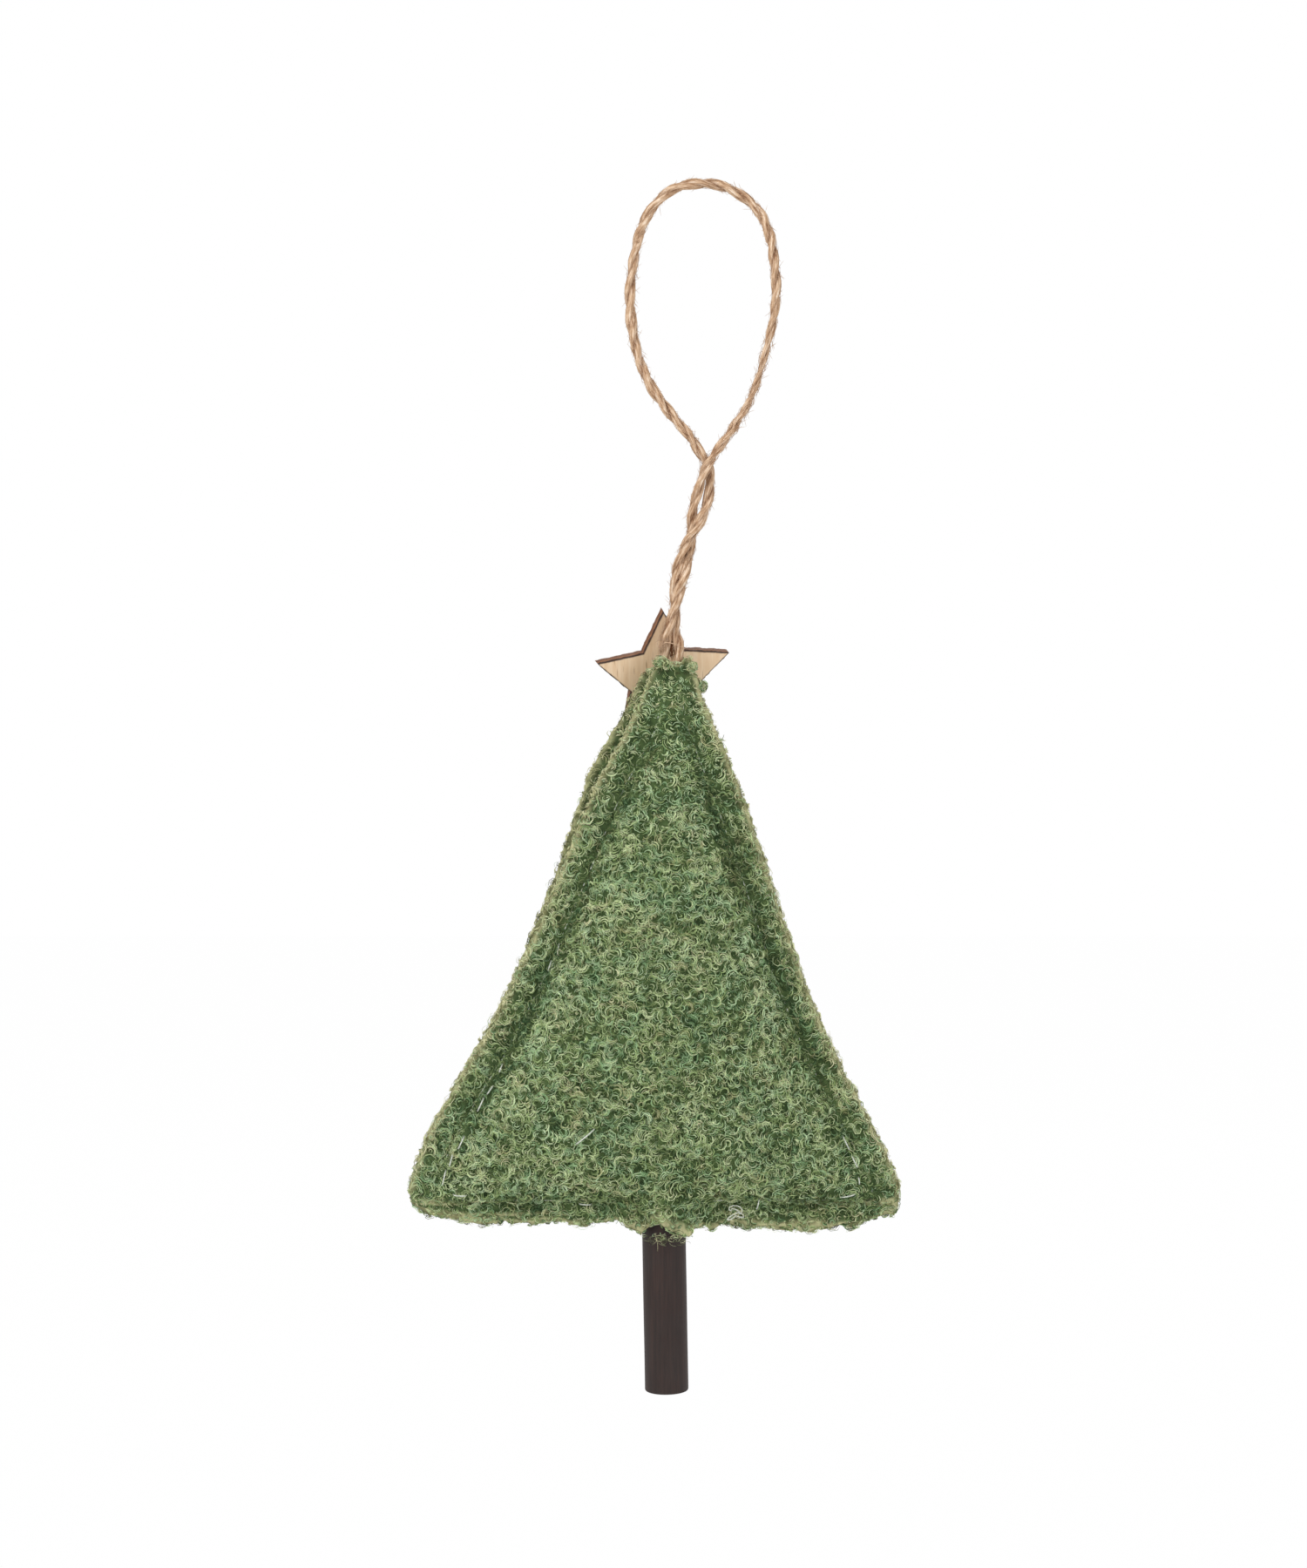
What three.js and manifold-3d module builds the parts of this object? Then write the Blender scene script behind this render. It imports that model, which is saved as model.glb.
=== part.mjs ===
// Christmas ornament: a stuffed bouclé tree with a dowel trunk, a plywood star and a twine loop.
// Millimetres, +Z up. The back of the ornament faces -Y and the star side faces +Y.
// Inside this file the tree stands with its hem at Z = 0. At the end everything is set down
// so that the origin is the point where a hook holds the loop.

import * as THREE from 'three';
import { mergeVertices } from 'three/addons/utils/BufferGeometryUtils.js';
import Module from 'manifold-3d';

const wasm = await Module();
wasm.setup();

// Cloth panels
const panelHeight = 129.4;
const halfHemWidth = 56.5;
const clothThickness = 2.6;
const flangeHalfGap = 0.18;
const seamInset = 6.4;
const hemSeamInset = 5;
const tipSeamInset = 4;
const grooveDepth = 1.5;
const grooveHalfWidth = 1.4;
const hemDip = 3.4;
const hemDipHalfWidth = 14;
const hemSag = 2.4;
const frontSlip = 2.8;

// Stuffing
const crownHeight = 10.5;
const hemShoulder = 9;
const tipShoulder = 6;
const bodyTaper = 11;
const stuffingGap = 0.45;

// Trunk, a sawn dowel that leans a little in the hem
const trunkRadius = 5;
const trunkShown = 39.1;
const trunkHidden = 66;
const trunkAtHem = 2.15;
const trunkEase = 0.4;
const trunkLean = THREE.MathUtils.degToRad(1);
const trunkClearance = 0.3;
const trunkTunnelRise = 1.1;
const trunkTunnelHalfWidth = 14;

// Star, cut from thin plywood and glued behind the tip
const starRadius = 16.7;
const starNotchRadius = 8.3;
const starThickness = 2.7;
const starPoints = 5;
const starEdgeMargin = 0.5;
const starAcross = 2.2;
const starBelowTip = 5;
const starRoll = THREE.MathUtils.degToRad(5.9);
const starLean = THREE.MathUtils.degToRad(22);
const starYaw = THREE.MathUtils.degToRad(15);

// Glue between the star and the cloth: a dab, thin where the cloth stands highest
const glueRadius = 4.6;
const glueBeside = 1.7;
const glueBelowStar = 1.9;
const glueFilm = 1;
const glueDepth = 3;
const glueGap = 0.3;

// Twine, and the places where its loop and its neck are parted so that they can swing and turn
const twineRadius = 1.1;
const twineGap = 0.3;
const cutHeight = 131;
const cutSpread = 1.75;
const tailLength = 15.5;
const tailSpread = 1.5;
const twineTunnelHalfHeight = 1.95;
const twineTunnelHalfWidth = 6.6;
const hangHeight = 236.9;

// Outline of the panels: height share of the panel, then the left and right edges as shares of
// half the hem width. The tip leans to the right, as hand-cut cloth does.
const outlineShares = [
  [0, -0.9, 0.93],
  [0.012, -0.955, 0.975],
  [0.035, -0.998, 0.998],
  [0.07, -0.992, 0.99],
  [0.12, -0.955, 0.947],
  [0.2, -0.868, 0.851],
  [0.31, -0.714, 0.722],
  [0.42, -0.582, 0.617],
  [0.54, -0.461, 0.524],
  [0.66, -0.347, 0.435],
  [0.78, -0.237, 0.34],
  [0.88, -0.108, 0.246],
  [0.94, -0.05, 0.19],
  [0.98, -0.012, 0.17],
  [1, 0.02, 0.15],
];

// Where the hem hangs slack beside the trunk, as shares of half the hem width: the middle of the
// sag, its half width, and its depth as a share of the deepest.
const hemSagShares = [
  [-0.57, 0.3, 0.5],
  [0.55, 0.37, 1],
];

// The side seam comes closer to the edge towards the tip.
const insetShares = [
  [0, 1],
  [0.5, 1],
  [0.86, 1],
  [0.93, 0.72],
  [0.97, 0.45],
  [1, 0.4],
];

// The front panel's left edge stands out past the back panel's in the upper half.
const slipShares = [
  [0, 0],
  [0.5, 0.2],
  [0.66, 0.45],
  [0.8, 1],
  [0.94, 1],
  [1, 0.1],
];

// Rows of the grid between the hem seam and the tip seam, and the columns of the stuffed body
const bodyRowShares = [
  0.02, 0.05, 0.09, 0.14, 0.2, 0.27, 0.34, 0.42, 0.5, 0.58, 0.66, 0.74, 0.81, 0.87, 0.92, 0.96,
];
const bodyColumns = 12;
const flangeMidShare = 0.55;
const hemRowShares = [0.16, 0.45];
const cutEdgeShare = 0.72;
const crownPowerShare = 0.55;
const crownSquarenessShare = 2.6;
const steepestSeamShare = 0.6;

// Loop route, X and Z of the twine's centre, from the left foot over the top to the right foot
const loopRoute = [
  [8, 180],
  [3.4, 185.4],
  [-0.2, 190.6],
  [-3.2, 196.6],
  [-4.8, 202.8],
  [-5.5, 210],
  [-5.3, 216],
  [-4.4, 222],
  [-2.9, 227.6],
  [-0.4, 232.4],
  [3.4, 236.2],
  [8.2, 238],
  [13.4, 238],
  [18.2, 236.4],
  [22.2, 233.4],
  [25.2, 229.2],
  [27, 223.8],
  [27.8, 217.6],
  [27.9, 211.6],
  [27.1, 205.6],
  [25.6, 199.6],
  [24, 193.8],
  [21.8, 188],
  [18.8, 182.8],
  [16.9, 180],
];

// Neck route: Z and X of the middle of the two strands, half their distance apart, and how far
// the pair has turned about its own line, in degrees.
const neckRoute = [
  [177.2, 12.4, 2.55, 0],
  [173.6, 12.2, 1.35, 90],
  [170, 12, 1.5, 130],
  [166.6, 11.1, 1.9, 160],
  [163.4, 10.4, 1.8, 185],
  [160.4, 9.6, 1.5, 215],
  [157, 8.5, 1.35, 270],
  [149.2, 6.1, 1.3, 360],
  [140.6, 4.7, 1.3, 450],
  [135.2, 4.3, 1.35, 490],
];

// Facet counts
const trunkSides = 40;
const twineSides = 8;
const loopSteps = 31;
const neckSteps = 18;
const tailSteps = 3;
const glueRings = 4;
const glueSides = 16;

// Places that follow from the sizes
const tipSeamZ = panelHeight - tipSeamInset;
const starHeight = panelHeight - starBelowTip;
const glueAcross = starAcross + glueBeside;
const glueHeight = starHeight - glueBelowStar;
const tailEndZ = cutHeight - twineGap - tailLength;
const twineX = neckRoute.at(-1)[1];
const swingZ = neckRoute[0][0];
const swingX = neckRoute[0][1];
const trunkTunnelHeight = trunkRadius + trunkTunnelRise;

// A smooth curve through pairs of [place, value]
function profile(pairs) {
  const places = Float32Array.from(pairs, (pair) => pair[0]);
  const values = Float32Array.from(pairs, (pair) => pair[1]);
  const curve = new THREE.CubicInterpolant(places, values, 1);
  return (place) => curve.evaluate(place)[0];
}

const leftEdgeShare = profile(outlineShares.map(([height, left]) => [height, left]));
const rightEdgeShare = profile(outlineShares.map(([height, , right]) => [height, right]));
const insetShare = profile(insetShares);
const slipShare = profile(slipShares);

function edgeX(side, z) {
  const share = z / panelHeight;
  return halfHemWidth * (side < 0 ? leftEdgeShare(share) : rightEdgeShare(share));
}

// The seam runs at a constant distance from the slanting edge, measured square to it.
function seamX(side, z) {
  const slope = (edgeX(side, z - grooveHalfWidth) - edgeX(side, z + grooveHalfWidth)) * side
    / (2 * grooveHalfWidth);
  const lean = THREE.MathUtils.clamp(slope, 0, steepestSeamShare);
  const inset = seamInset * insetShare(z / panelHeight) * Math.hypot(1, lean);
  return edgeX(side, z) - side * inset;
}

// A hump that is 1 in the middle and falls smoothly to 0 at its half width
function hump(distance, halfWidth) {
  const share = Math.min(Math.abs(distance) / halfWidth, 1);
  return (1 + Math.cos(Math.PI * share)) / 2;
}

function trunkX(z) {
  return trunkAtHem - Math.tan(trunkLean) * z;
}

// Half the thickness of the stuffed body, full in the middle and drawn in at every seam
function crown(x, z) {
  const left = seamX(-1, z);
  const right = seamX(1, z);
  const half = (right - left) / 2;
  const across = Math.abs(x - (left + right) / 2) / half;
  const fromHem = 1 - Math.exp(-Math.max(z - hemSeamInset, 0) / hemShoulder);
  const fromTip = 1 - Math.exp(-Math.max(tipSeamZ - z, 0) / tipShoulder);
  const width = 1 - Math.exp(-half / bodyTaper);
  const fall = Math.max(1 - Math.pow(across, crownSquarenessShare), 0);
  return crownHeight * width * Math.pow(fall * fromHem * fromTip, crownPowerShare);
}

function trunkTunnel(x, z) {
  const fade = 1 - THREE.MathUtils.smoothstep(z, trunkHidden, trunkHidden + trunkTunnelHalfWidth);
  return trunkTunnelHeight * hump(x - trunkX(z), trunkTunnelHalfWidth) * fade;
}

function twineTunnel(x, z) {
  const fade = THREE.MathUtils.smoothstep(z, tailEndZ - twineTunnelHalfWidth, tailEndZ);
  return twineTunnelHalfHeight * hump(x - twineX, twineTunnelHalfWidth) * fade;
}

// Height of the inner face of a panel above the middle plane: the largest of its causes, blended
function innerFace(x, z) {
  const causes = [flangeHalfGap, crown(x, z), trunkTunnel(x, z), twineTunnel(x, z)];
  const sum = causes.reduce((total, cause) => total + Math.pow(cause, 4), 0);
  return Math.pow(sum, 1 / 4);
}

// The stitching pulls the cloth in along the side seams, the tip seam and the hem seam,
// and the hem seam is open for the trunk.
function groove(x, z) {
  const nearer = Math.min(Math.abs(x - seamX(-1, z)), Math.abs(x - seamX(1, z)));
  const withinHeight = z > hemSeamInset - grooveHalfWidth && z < tipSeamZ + grooveHalfWidth;
  const withinWidth = x > seamX(-1, z) - grooveHalfWidth && x < seamX(1, z) + grooveHalfWidth;
  const open = hump(x - trunkX(z), trunkTunnelHalfWidth);
  const side = withinHeight ? Math.exp(-((nearer / grooveHalfWidth) ** 2)) : 0;
  const hem = withinWidth ? Math.exp(-(((z - hemSeamInset) / grooveHalfWidth) ** 2)) : 0;
  const tip = withinWidth ? Math.exp(-(((z - tipSeamZ) / grooveHalfWidth) ** 2)) : 0;
  return grooveDepth * Math.max(side, hem * (1 - open), tip);
}

// Height of the outer face. The cut edge is a little thinner than the cloth.
function outerFace(x, z, atEdge = false) {
  const thickness = clothThickness * (atEdge ? cutEdgeShare : 1);
  return innerFace(x, z) + Math.max(thickness - groove(x, z), clothThickness - grooveDepth);
}

// Rows of the panel grid, from the hem to the tip, with one row on each seam and on its lips
function rowHeights() {
  const bodyStart = hemSeamInset + grooveHalfWidth;
  const bodyEnd = tipSeamZ - grooveHalfWidth;
  return [
    0,
    ...hemRowShares.map((share) => share * hemSeamInset),
    hemSeamInset - grooveHalfWidth,
    hemSeamInset,
    bodyStart,
    ...bodyRowShares.map((share) => bodyStart + share * (bodyEnd - bodyStart)),
    bodyEnd,
    tipSeamZ,
    tipSeamZ + grooveHalfWidth,
    panelHeight,
  ];
}

// Columns of the stuffed body at one height, from lip to lip. Near the hem they crowd to the trunk.
function bodyColumnsAt(z) {
  const lipShare = Math.min(grooveHalfWidth / (seamX(1, z) - seamX(-1, z)), 1 / 4);
  const crowd = 1 - THREE.MathUtils.smoothstep(z, hemSeamInset, hemSeamInset + 2 * trunkTunnelHalfWidth);
  const columns = [];
  for (let index = 0; index <= bodyColumns; index += 1) {
    const even = (2 * index) / bodyColumns - 1;
    const gathered = Math.sign(even) * Math.pow(Math.abs(even), 1 + crowd);
    const share = 1 / 2 + gathered * (1 / 2 - lipShare);
    const shift = crowd * trunkX(z) * (1 - Math.abs(even));
    columns.push(THREE.MathUtils.lerp(seamX(-1, z), seamX(1, z), share) + shift);
  }
  return columns;
}

// All columns at one height. The flange of the front panel reaches out by its slip on the left.
function columnsAt(z, slip) {
  const flange = (side) => {
    const seam = seamX(side, z);
    const lean = side < 0 ? slip * slipShare(z / panelHeight) : 0;
    const edge = edgeX(side, z) + side * lean;
    const lip = seam + side * Math.min(grooveHalfWidth, Math.abs(edge - seam) * flangeMidShare);
    return [seam, lip, THREE.MathUtils.lerp(lip, edge, flangeMidShare), edge];
  };
  return [...flange(-1).reverse(), ...bodyColumnsAt(z), ...flange(1)];
}

// A closed solid between two height fields on the same grid, rows from low Z to high Z.
// near() and far() give the Y of its two faces, near being the lower Y.
function slab(rows, near, far, drop = () => 0) {
  const width = rows[0].xs.length;
  const positions = [];
  const index = [];
  const layer = rows.length * width;
  for (const face of [near, far]) {
    rows.forEach((row, rowNumber) => {
      row.xs.forEach((x, column) => {
        const rim = rowNumber === 0 || rowNumber === rows.length - 1;
        const atEdge = rim || column === 0 || column === width - 1;
        positions.push(x, face(x, row.z, atEdge), row.z - drop(x, row.z));
      });
    });
  }
  const quad = (a, b, c, d) => index.push(a, b, c, a, c, d);
  for (let row = 0; row + 1 < rows.length; row += 1) {
    for (let column = 0; column + 1 < width; column += 1) {
      const corner = row * width + column;
      quad(corner, corner + 1, corner + width + 1, corner + width);
      const back = corner + layer;
      quad(back, back + width, back + width + 1, back + 1);
    }
  }
  const rim = [];
  for (let column = 0; column < width; column += 1) rim.push(column);
  for (let row = 1; row < rows.length; row += 1) rim.push(row * width + width - 1);
  for (let column = width - 2; column >= 0; column -= 1) rim.push((rows.length - 1) * width + column);
  for (let row = rows.length - 2; row > 0; row -= 1) rim.push(row * width);
  rim.forEach((here, place) => {
    const next = rim[(place + 1) % rim.length];
    quad(next, here, here + layer, next + layer);
  });
  const geometry = new THREE.BufferGeometry();
  geometry.setAttribute('position', new THREE.Float32BufferAttribute(positions, 3));
  geometry.setIndex(index);
  return geometry;
}

// The hem hangs lower where it drapes over the trunk, and a little between there and the corners.
function hemDrop(x, z) {
  const fade = 1 - THREE.MathUtils.smoothstep(z, 0, hemSeamInset + grooveHalfWidth);
  const drape = hemDip * hump(x - trunkX(z), hemDipHalfWidth);
  const sags = hemSagShares.map(([across, halfWidth, depth]) => (
    hemSag * depth * hump(x - across * halfHemWidth, halfWidth * halfHemWidth)
  ));
  return fade * Math.max(drape, ...sags);
}

function backPanelGeometry() {
  const rows = rowHeights().map((z) => ({ z, xs: columnsAt(z, 0) }));
  return slab(rows, (x, z, atEdge) => -outerFace(x, z, atEdge), (x, z) => -innerFace(x, z), hemDrop);
}

function frontPanelGeometry() {
  const rows = rowHeights().map((z) => ({ z, xs: columnsAt(z, frontSlip) }));
  return slab(rows, (x, z) => innerFace(x, z), (x, z, atEdge) => outerFace(x, z, atEdge), hemDrop);
}

function toManifold(geometry) {
  const bare = geometry.clone();
  bare.deleteAttribute('normal');
  bare.deleteAttribute('uv');
  const merged = mergeVertices(bare);
  const mesh = new wasm.Mesh({
    numProp: 3,
    vertProperties: new Float32Array(merged.attributes.position.array),
    triVerts: new Uint32Array(merged.index.array),
  });
  return new wasm.Manifold(mesh);
}

function toGeometry(solid) {
  const mesh = solid.getMesh();
  const geometry = new THREE.BufferGeometry();
  geometry.setAttribute('position', new THREE.Float32BufferAttribute(mesh.vertProperties, 3));
  geometry.setIndex(new THREE.Uint32BufferAttribute(mesh.triVerts, 1));
  return geometry;
}

// A dowel with eased ends, standing on its sawn end at Z = 0
function dowelGeometry(radius, length, ease) {
  const outline = [
    new THREE.Vector2(0, 0),
    new THREE.Vector2(radius - ease, 0),
    new THREE.Vector2(radius, ease),
    new THREE.Vector2(radius, length - ease),
    new THREE.Vector2(radius - ease, length),
    new THREE.Vector2(0, length),
  ];
  return new THREE.LatheGeometry(outline, trunkSides).rotateX(Math.PI / 2);
}

// The dowel's foot, below the hem. Its line passes through the hem at trunkAtHem.
function placeTrunk(object) {
  object.position.set(trunkX(-trunkShown), 0, -trunkShown);
  object.rotation.set(0, -trunkLean, 0);
  return object;
}

// Fibrefill: the crown without the cloth, blunt at the seams, with a hollow for the dowel.
// It ends below the tails of the twine.
function stuffingGeometry() {
  const top = tailEndZ - stuffingGap;
  const rows = rowHeights()
    .filter((z) => z > hemSeamInset + grooveHalfWidth && z < top)
    .map((z) => ({ z, xs: bodyColumnsAt(z) }));
  const rounding = (z) => 1 - THREE.MathUtils.smoothstep(z, top - tipShoulder, top + tipShoulder);
  const half = (x, z) => Math.max(crown(x, z) - stuffingGap, stuffingGap) * rounding(z);
  const pillow = toManifold(slab(rows, (x, z) => -half(x, z), half));
  const bore = new THREE.Object3D();
  placeTrunk(bore).updateMatrix();
  const radius = trunkRadius + trunkClearance;
  const length = trunkShown + trunkHidden + trunkClearance;
  const dowel = toManifold(dowelGeometry(radius, length, trunkEase)).transform(bore.matrix.toArray());
  return toGeometry(pillow.subtract(dowel));
}

// Normal of the star's plane, pointing away from the tree
const starTilt = new THREE.Euler(starLean, 0, starYaw, 'ZXY');
const starNormal = new THREE.Vector3(0, 1, 0).applyEuler(starTilt);

// How far the star's near face stands from its centre's Y, at a place beside the centre
function starSlope(x, z) {
  return -(starNormal.x * (x - starAcross) + starNormal.z * (z - starHeight)) / starNormal.y;
}

// True for a place behind the star: its outline in polar form runs straight from tip to notch.
function underStar(x, z) {
  const sector = Math.PI / starPoints;
  const angle = Math.atan2(z - starHeight, x - starAcross) - Math.PI / 2 - starRoll;
  const folded = Math.abs(angle - 2 * sector * Math.round(angle / (2 * sector)));
  const spread = starRadius * Math.sin(folded) + starNotchRadius * Math.sin(sector - folded);
  const reach = (starRadius * starNotchRadius * Math.sin(sector)) / spread;
  return Math.hypot(x - starAcross, z - starHeight) < reach + starEdgeMargin;
}

// Y of the middle of the star's near face, so that the thinnest glue fits between star and cloth
function starStandoff() {
  let standoff = 0;
  for (const z of rowHeights()) {
    for (const x of columnsAt(z, frontSlip)) {
      if (underStar(x, z)) {
        standoff = Math.max(standoff, outerFace(x, z) - starSlope(x, z));
      }
    }
  }
  return standoff + glueFilm + 2 * glueGap;
}

const starY = starStandoff();

function starGeometry() {
  const shape = new THREE.Shape();
  for (let corner = 0; corner < 2 * starPoints; corner += 1) {
    const radius = corner % 2 ? starNotchRadius : starRadius;
    const angle = Math.PI / 2 + (corner * Math.PI) / starPoints;
    const point = [radius * Math.cos(angle), radius * Math.sin(angle)];
    if (corner === 0) shape.moveTo(...point);
    else shape.lineTo(...point);
  }
  shape.closePath();
  return new THREE.ExtrudeGeometry(shape, { depth: starThickness, bevelEnabled: false });
}

// A round dab on the star's near face that reaches down to the cloth where the cloth is near.
// It bridges the seam grooves.
function glueGeometry() {
  const starSide = (x, z) => starY + starSlope(x, z) - glueGap;
  const clothSide = (x, z) => (
    Math.max(innerFace(x, z) + clothThickness + glueGap, starSide(x, z) - glueDepth)
  );
  const positions = [];
  const index = [];
  const layer = 1 + glueRings * glueSides;
  for (const face of [clothSide, starSide]) {
    positions.push(glueAcross, face(glueAcross, glueHeight), glueHeight);
    for (let ring = 1; ring <= glueRings; ring += 1) {
      for (let side = 0; side < glueSides; side += 1) {
        const angle = (2 * Math.PI * side) / glueSides;
        const x = glueAcross + ((glueRadius * ring) / glueRings) * Math.cos(angle);
        const z = glueHeight + ((glueRadius * ring) / glueRings) * Math.sin(angle);
        positions.push(x, face(x, z), z);
      }
    }
  }
  for (let side = 0; side < glueSides; side += 1) {
    const next = (side + 1) % glueSides;
    index.push(0, 1 + side, 1 + next);
    index.push(layer, layer + 1 + next, layer + 1 + side);
    for (let ring = 1; ring < glueRings; ring += 1) {
      const inner = 1 + (ring - 1) * glueSides;
      const outer = inner + glueSides;
      index.push(inner + side, outer + side, outer + next, inner + side, outer + next, inner + next);
      index.push(layer + inner + side, layer + outer + next, layer + outer + side);
      index.push(layer + inner + side, layer + inner + next, layer + outer + next);
    }
    const rim = 1 + (glueRings - 1) * glueSides;
    index.push(rim + side, layer + rim + side, layer + rim + next);
    index.push(rim + side, layer + rim + next, rim + next);
  }
  const geometry = new THREE.BufferGeometry();
  geometry.setAttribute('position', new THREE.Float32BufferAttribute(positions, 3));
  geometry.setIndex(index);
  return geometry;
}

// A round section for the twine
function twineSection() {
  const section = new THREE.Shape();
  for (let side = 0; side < twineSides; side += 1) {
    const angle = (2 * Math.PI * (side + 1 / 2)) / twineSides;
    const point = [twineRadius * Math.cos(angle), twineRadius * Math.sin(angle)];
    if (side === 0) section.moveTo(...point);
    else section.lineTo(...point);
  }
  section.closePath();
  return section;
}

function twineTube(points, steps) {
  const extrudePath = new THREE.CatmullRomCurve3(points, false, 'centripetal');
  return new THREE.ExtrudeGeometry(twineSection(), { extrudePath, steps, bevelEnabled: false });
}

const neckX = profile(neckRoute.map(([z, x]) => [-z, x]));
const neckSpread = profile(neckRoute.map(([z, , spread]) => [-z, spread]));
const neckTurn = profile(neckRoute.map(([z, , , turn]) => [-z, turn]));

// Strand a starts on the left (side -1) and passes behind at the first crossing.
function strandPoint(side, z) {
  const turn = THREE.MathUtils.degToRad(neckTurn(-z));
  const spread = neckSpread(-z);
  return new THREE.Vector3(
    neckX(-z) + side * spread * Math.cos(turn),
    -side * spread * Math.sin(turn),
    z,
  );
}

// A neck strand: twisted round its fellow, then straight down into the cut above the tip.
// Its ball end turns under the loop's foot.
function neckStrandGeometry(side) {
  const points = [];
  const last = neckRoute.at(-1)[0];
  for (let step = 0; step <= neckSteps; step += 1) {
    points.push(strandPoint(side, THREE.MathUtils.lerp(swingZ, last, step / neckSteps)));
  }
  const straight = 2 * twineRadius;
  points.push(new THREE.Vector3(twineX - side * cutSpread, 0, cutHeight + straight * (2 / 3)));
  points.push(new THREE.Vector3(twineX - side * cutSpread, 0, cutHeight + straight / 3));
  points.push(new THREE.Vector3(twineX - side * cutSpread, 0, cutHeight));
  const ball = new THREE.SphereGeometry(twineRadius, twineSides, twineSides / 2);
  ball.translate(...points[0].toArray());
  return toGeometry(toManifold(twineTube(points, neckSteps)).add(toManifold(ball)));
}

function tailGeometry(side) {
  const top = cutHeight - twineGap;
  const at = (spread, z) => new THREE.Vector3(twineX - side * spread, 0, z);
  const points = [
    at(cutSpread, top),
    at(cutSpread, top - twineRadius),
    at(THREE.MathUtils.lerp(cutSpread, tailSpread, 1 / 2), top - tailLength / 2),
    at(tailSpread, tailEndZ),
  ];
  return twineTube(points, tailSteps);
}

// The loop's feet stop short of the strands' ball ends.
function loopGeometry() {
  const route = loopRoute.map(([x, z]) => new THREE.Vector3(x, 0, z));
  const foot = (side, towards) => {
    const pivot = strandPoint(side, swingZ);
    const away = towards.clone().sub(pivot).normalize();
    return pivot.addScaledVector(away, twineRadius + twineGap);
  };
  const points = [foot(-1, route[0]), ...route, foot(1, route.at(-1))];
  return twineTube(points, loopSteps);
}

const wool = { color: '#6f8f52', roughness: 0.95, metalness: 0 };
const fibrefill = { color: '#e8e6df', roughness: 1, metalness: 0 };
const darkWood = { color: '#3f3431', roughness: 0.6, metalness: 0 };
const plywood = { color: '#cfae84', roughness: 0.7, metalness: 0 };
const glue = { color: '#d9d3bd', roughness: 0.35, metalness: 0 };
const jute = { color: '#b98f5c', roughness: 0.9, metalness: 0 };

function piece(name, geometry, finish) {
  const mesh = new THREE.Mesh(geometry, new THREE.MeshStandardMaterial(finish));
  mesh.name = name;
  return mesh;
}

const ornament = new THREE.Group();
ornament.position.set(-swingX, 0, -hangHeight);

const tree = new THREE.Group();
tree.add(piece('back_panel', backPanelGeometry(), wool));
tree.add(piece('front_panel', frontPanelGeometry(), wool));
tree.add(piece('stuffing', stuffingGeometry(), fibrefill));
const trunkLength = trunkShown + trunkHidden;
tree.add(placeTrunk(piece('trunk', dowelGeometry(trunkRadius, trunkLength, trunkEase), darkWood)));
tree.add(piece('star_glue', glueGeometry(), glue));
tree.add(piece('sewn_tail_a', tailGeometry(-1), jute));
tree.add(piece('sewn_tail_b', tailGeometry(1), jute));

// The star's own frame lies in its near face, so the plate is pushed out by its thickness.
const starSeat = new THREE.Group();
starSeat.position.set(starAcross, starY, starHeight);
starSeat.rotation.copy(starTilt);
const star = piece('star', starGeometry(), plywood);
star.position.set(0, starThickness, 0);
star.rotation.set(Math.PI / 2, 0, starRoll);
starSeat.add(star);
tree.add(starSeat);

const neck = new THREE.Group();
neck.add(piece('neck_strand_a', neckStrandGeometry(-1), jute));
neck.add(piece('neck_strand_b', neckStrandGeometry(1), jute));

ornament.add(piece('hanging_loop', loopGeometry(), jute), neck, tree);

export default ornament;
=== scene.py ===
# %% [markdown]
# # A stuffed tree ornament in looped wool
# The real ornament is two pieces of looped wool cloth, sewn edge to edge round a filling, with a
# dowel for a trunk, a plywood star glued behind the tip and a loop of jute twine. We see its back.
# The rigid frame of the model is loaded first and never moved. Every piece made here is placed in
# its coordinates: metres, with the inside of the twine loop's top at the origin.

# %% Load the frame
import math

import bmesh
import bpy
import numpy as np
from mathutils import Matrix, Vector, noise
from mathutils.bvhtree import BVHTree


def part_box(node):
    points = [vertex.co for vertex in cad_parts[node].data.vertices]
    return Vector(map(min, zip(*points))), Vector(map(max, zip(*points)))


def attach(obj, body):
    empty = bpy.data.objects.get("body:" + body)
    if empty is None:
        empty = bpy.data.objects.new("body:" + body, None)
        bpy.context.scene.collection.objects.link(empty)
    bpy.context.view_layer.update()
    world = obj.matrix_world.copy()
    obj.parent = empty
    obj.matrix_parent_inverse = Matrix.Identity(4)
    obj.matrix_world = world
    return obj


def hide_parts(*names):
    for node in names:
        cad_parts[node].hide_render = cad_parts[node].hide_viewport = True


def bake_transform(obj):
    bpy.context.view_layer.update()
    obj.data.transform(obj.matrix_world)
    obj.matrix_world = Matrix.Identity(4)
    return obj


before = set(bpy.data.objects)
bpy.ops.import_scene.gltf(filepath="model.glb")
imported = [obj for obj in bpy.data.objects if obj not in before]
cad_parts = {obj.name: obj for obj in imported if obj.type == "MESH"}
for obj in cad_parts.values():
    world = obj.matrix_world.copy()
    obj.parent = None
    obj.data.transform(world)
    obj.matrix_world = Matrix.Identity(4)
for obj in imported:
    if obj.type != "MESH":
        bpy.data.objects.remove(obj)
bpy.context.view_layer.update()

# %% [markdown]
# ## Places
# The tree was drawn in millimetres with its hem at height 0. The loop's top hangs above the hem,
# so one small function turns a drawn place into a place in the frame. A second one turns a pixel
# of the photograph into a place in the plane between the two cloths.

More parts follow.
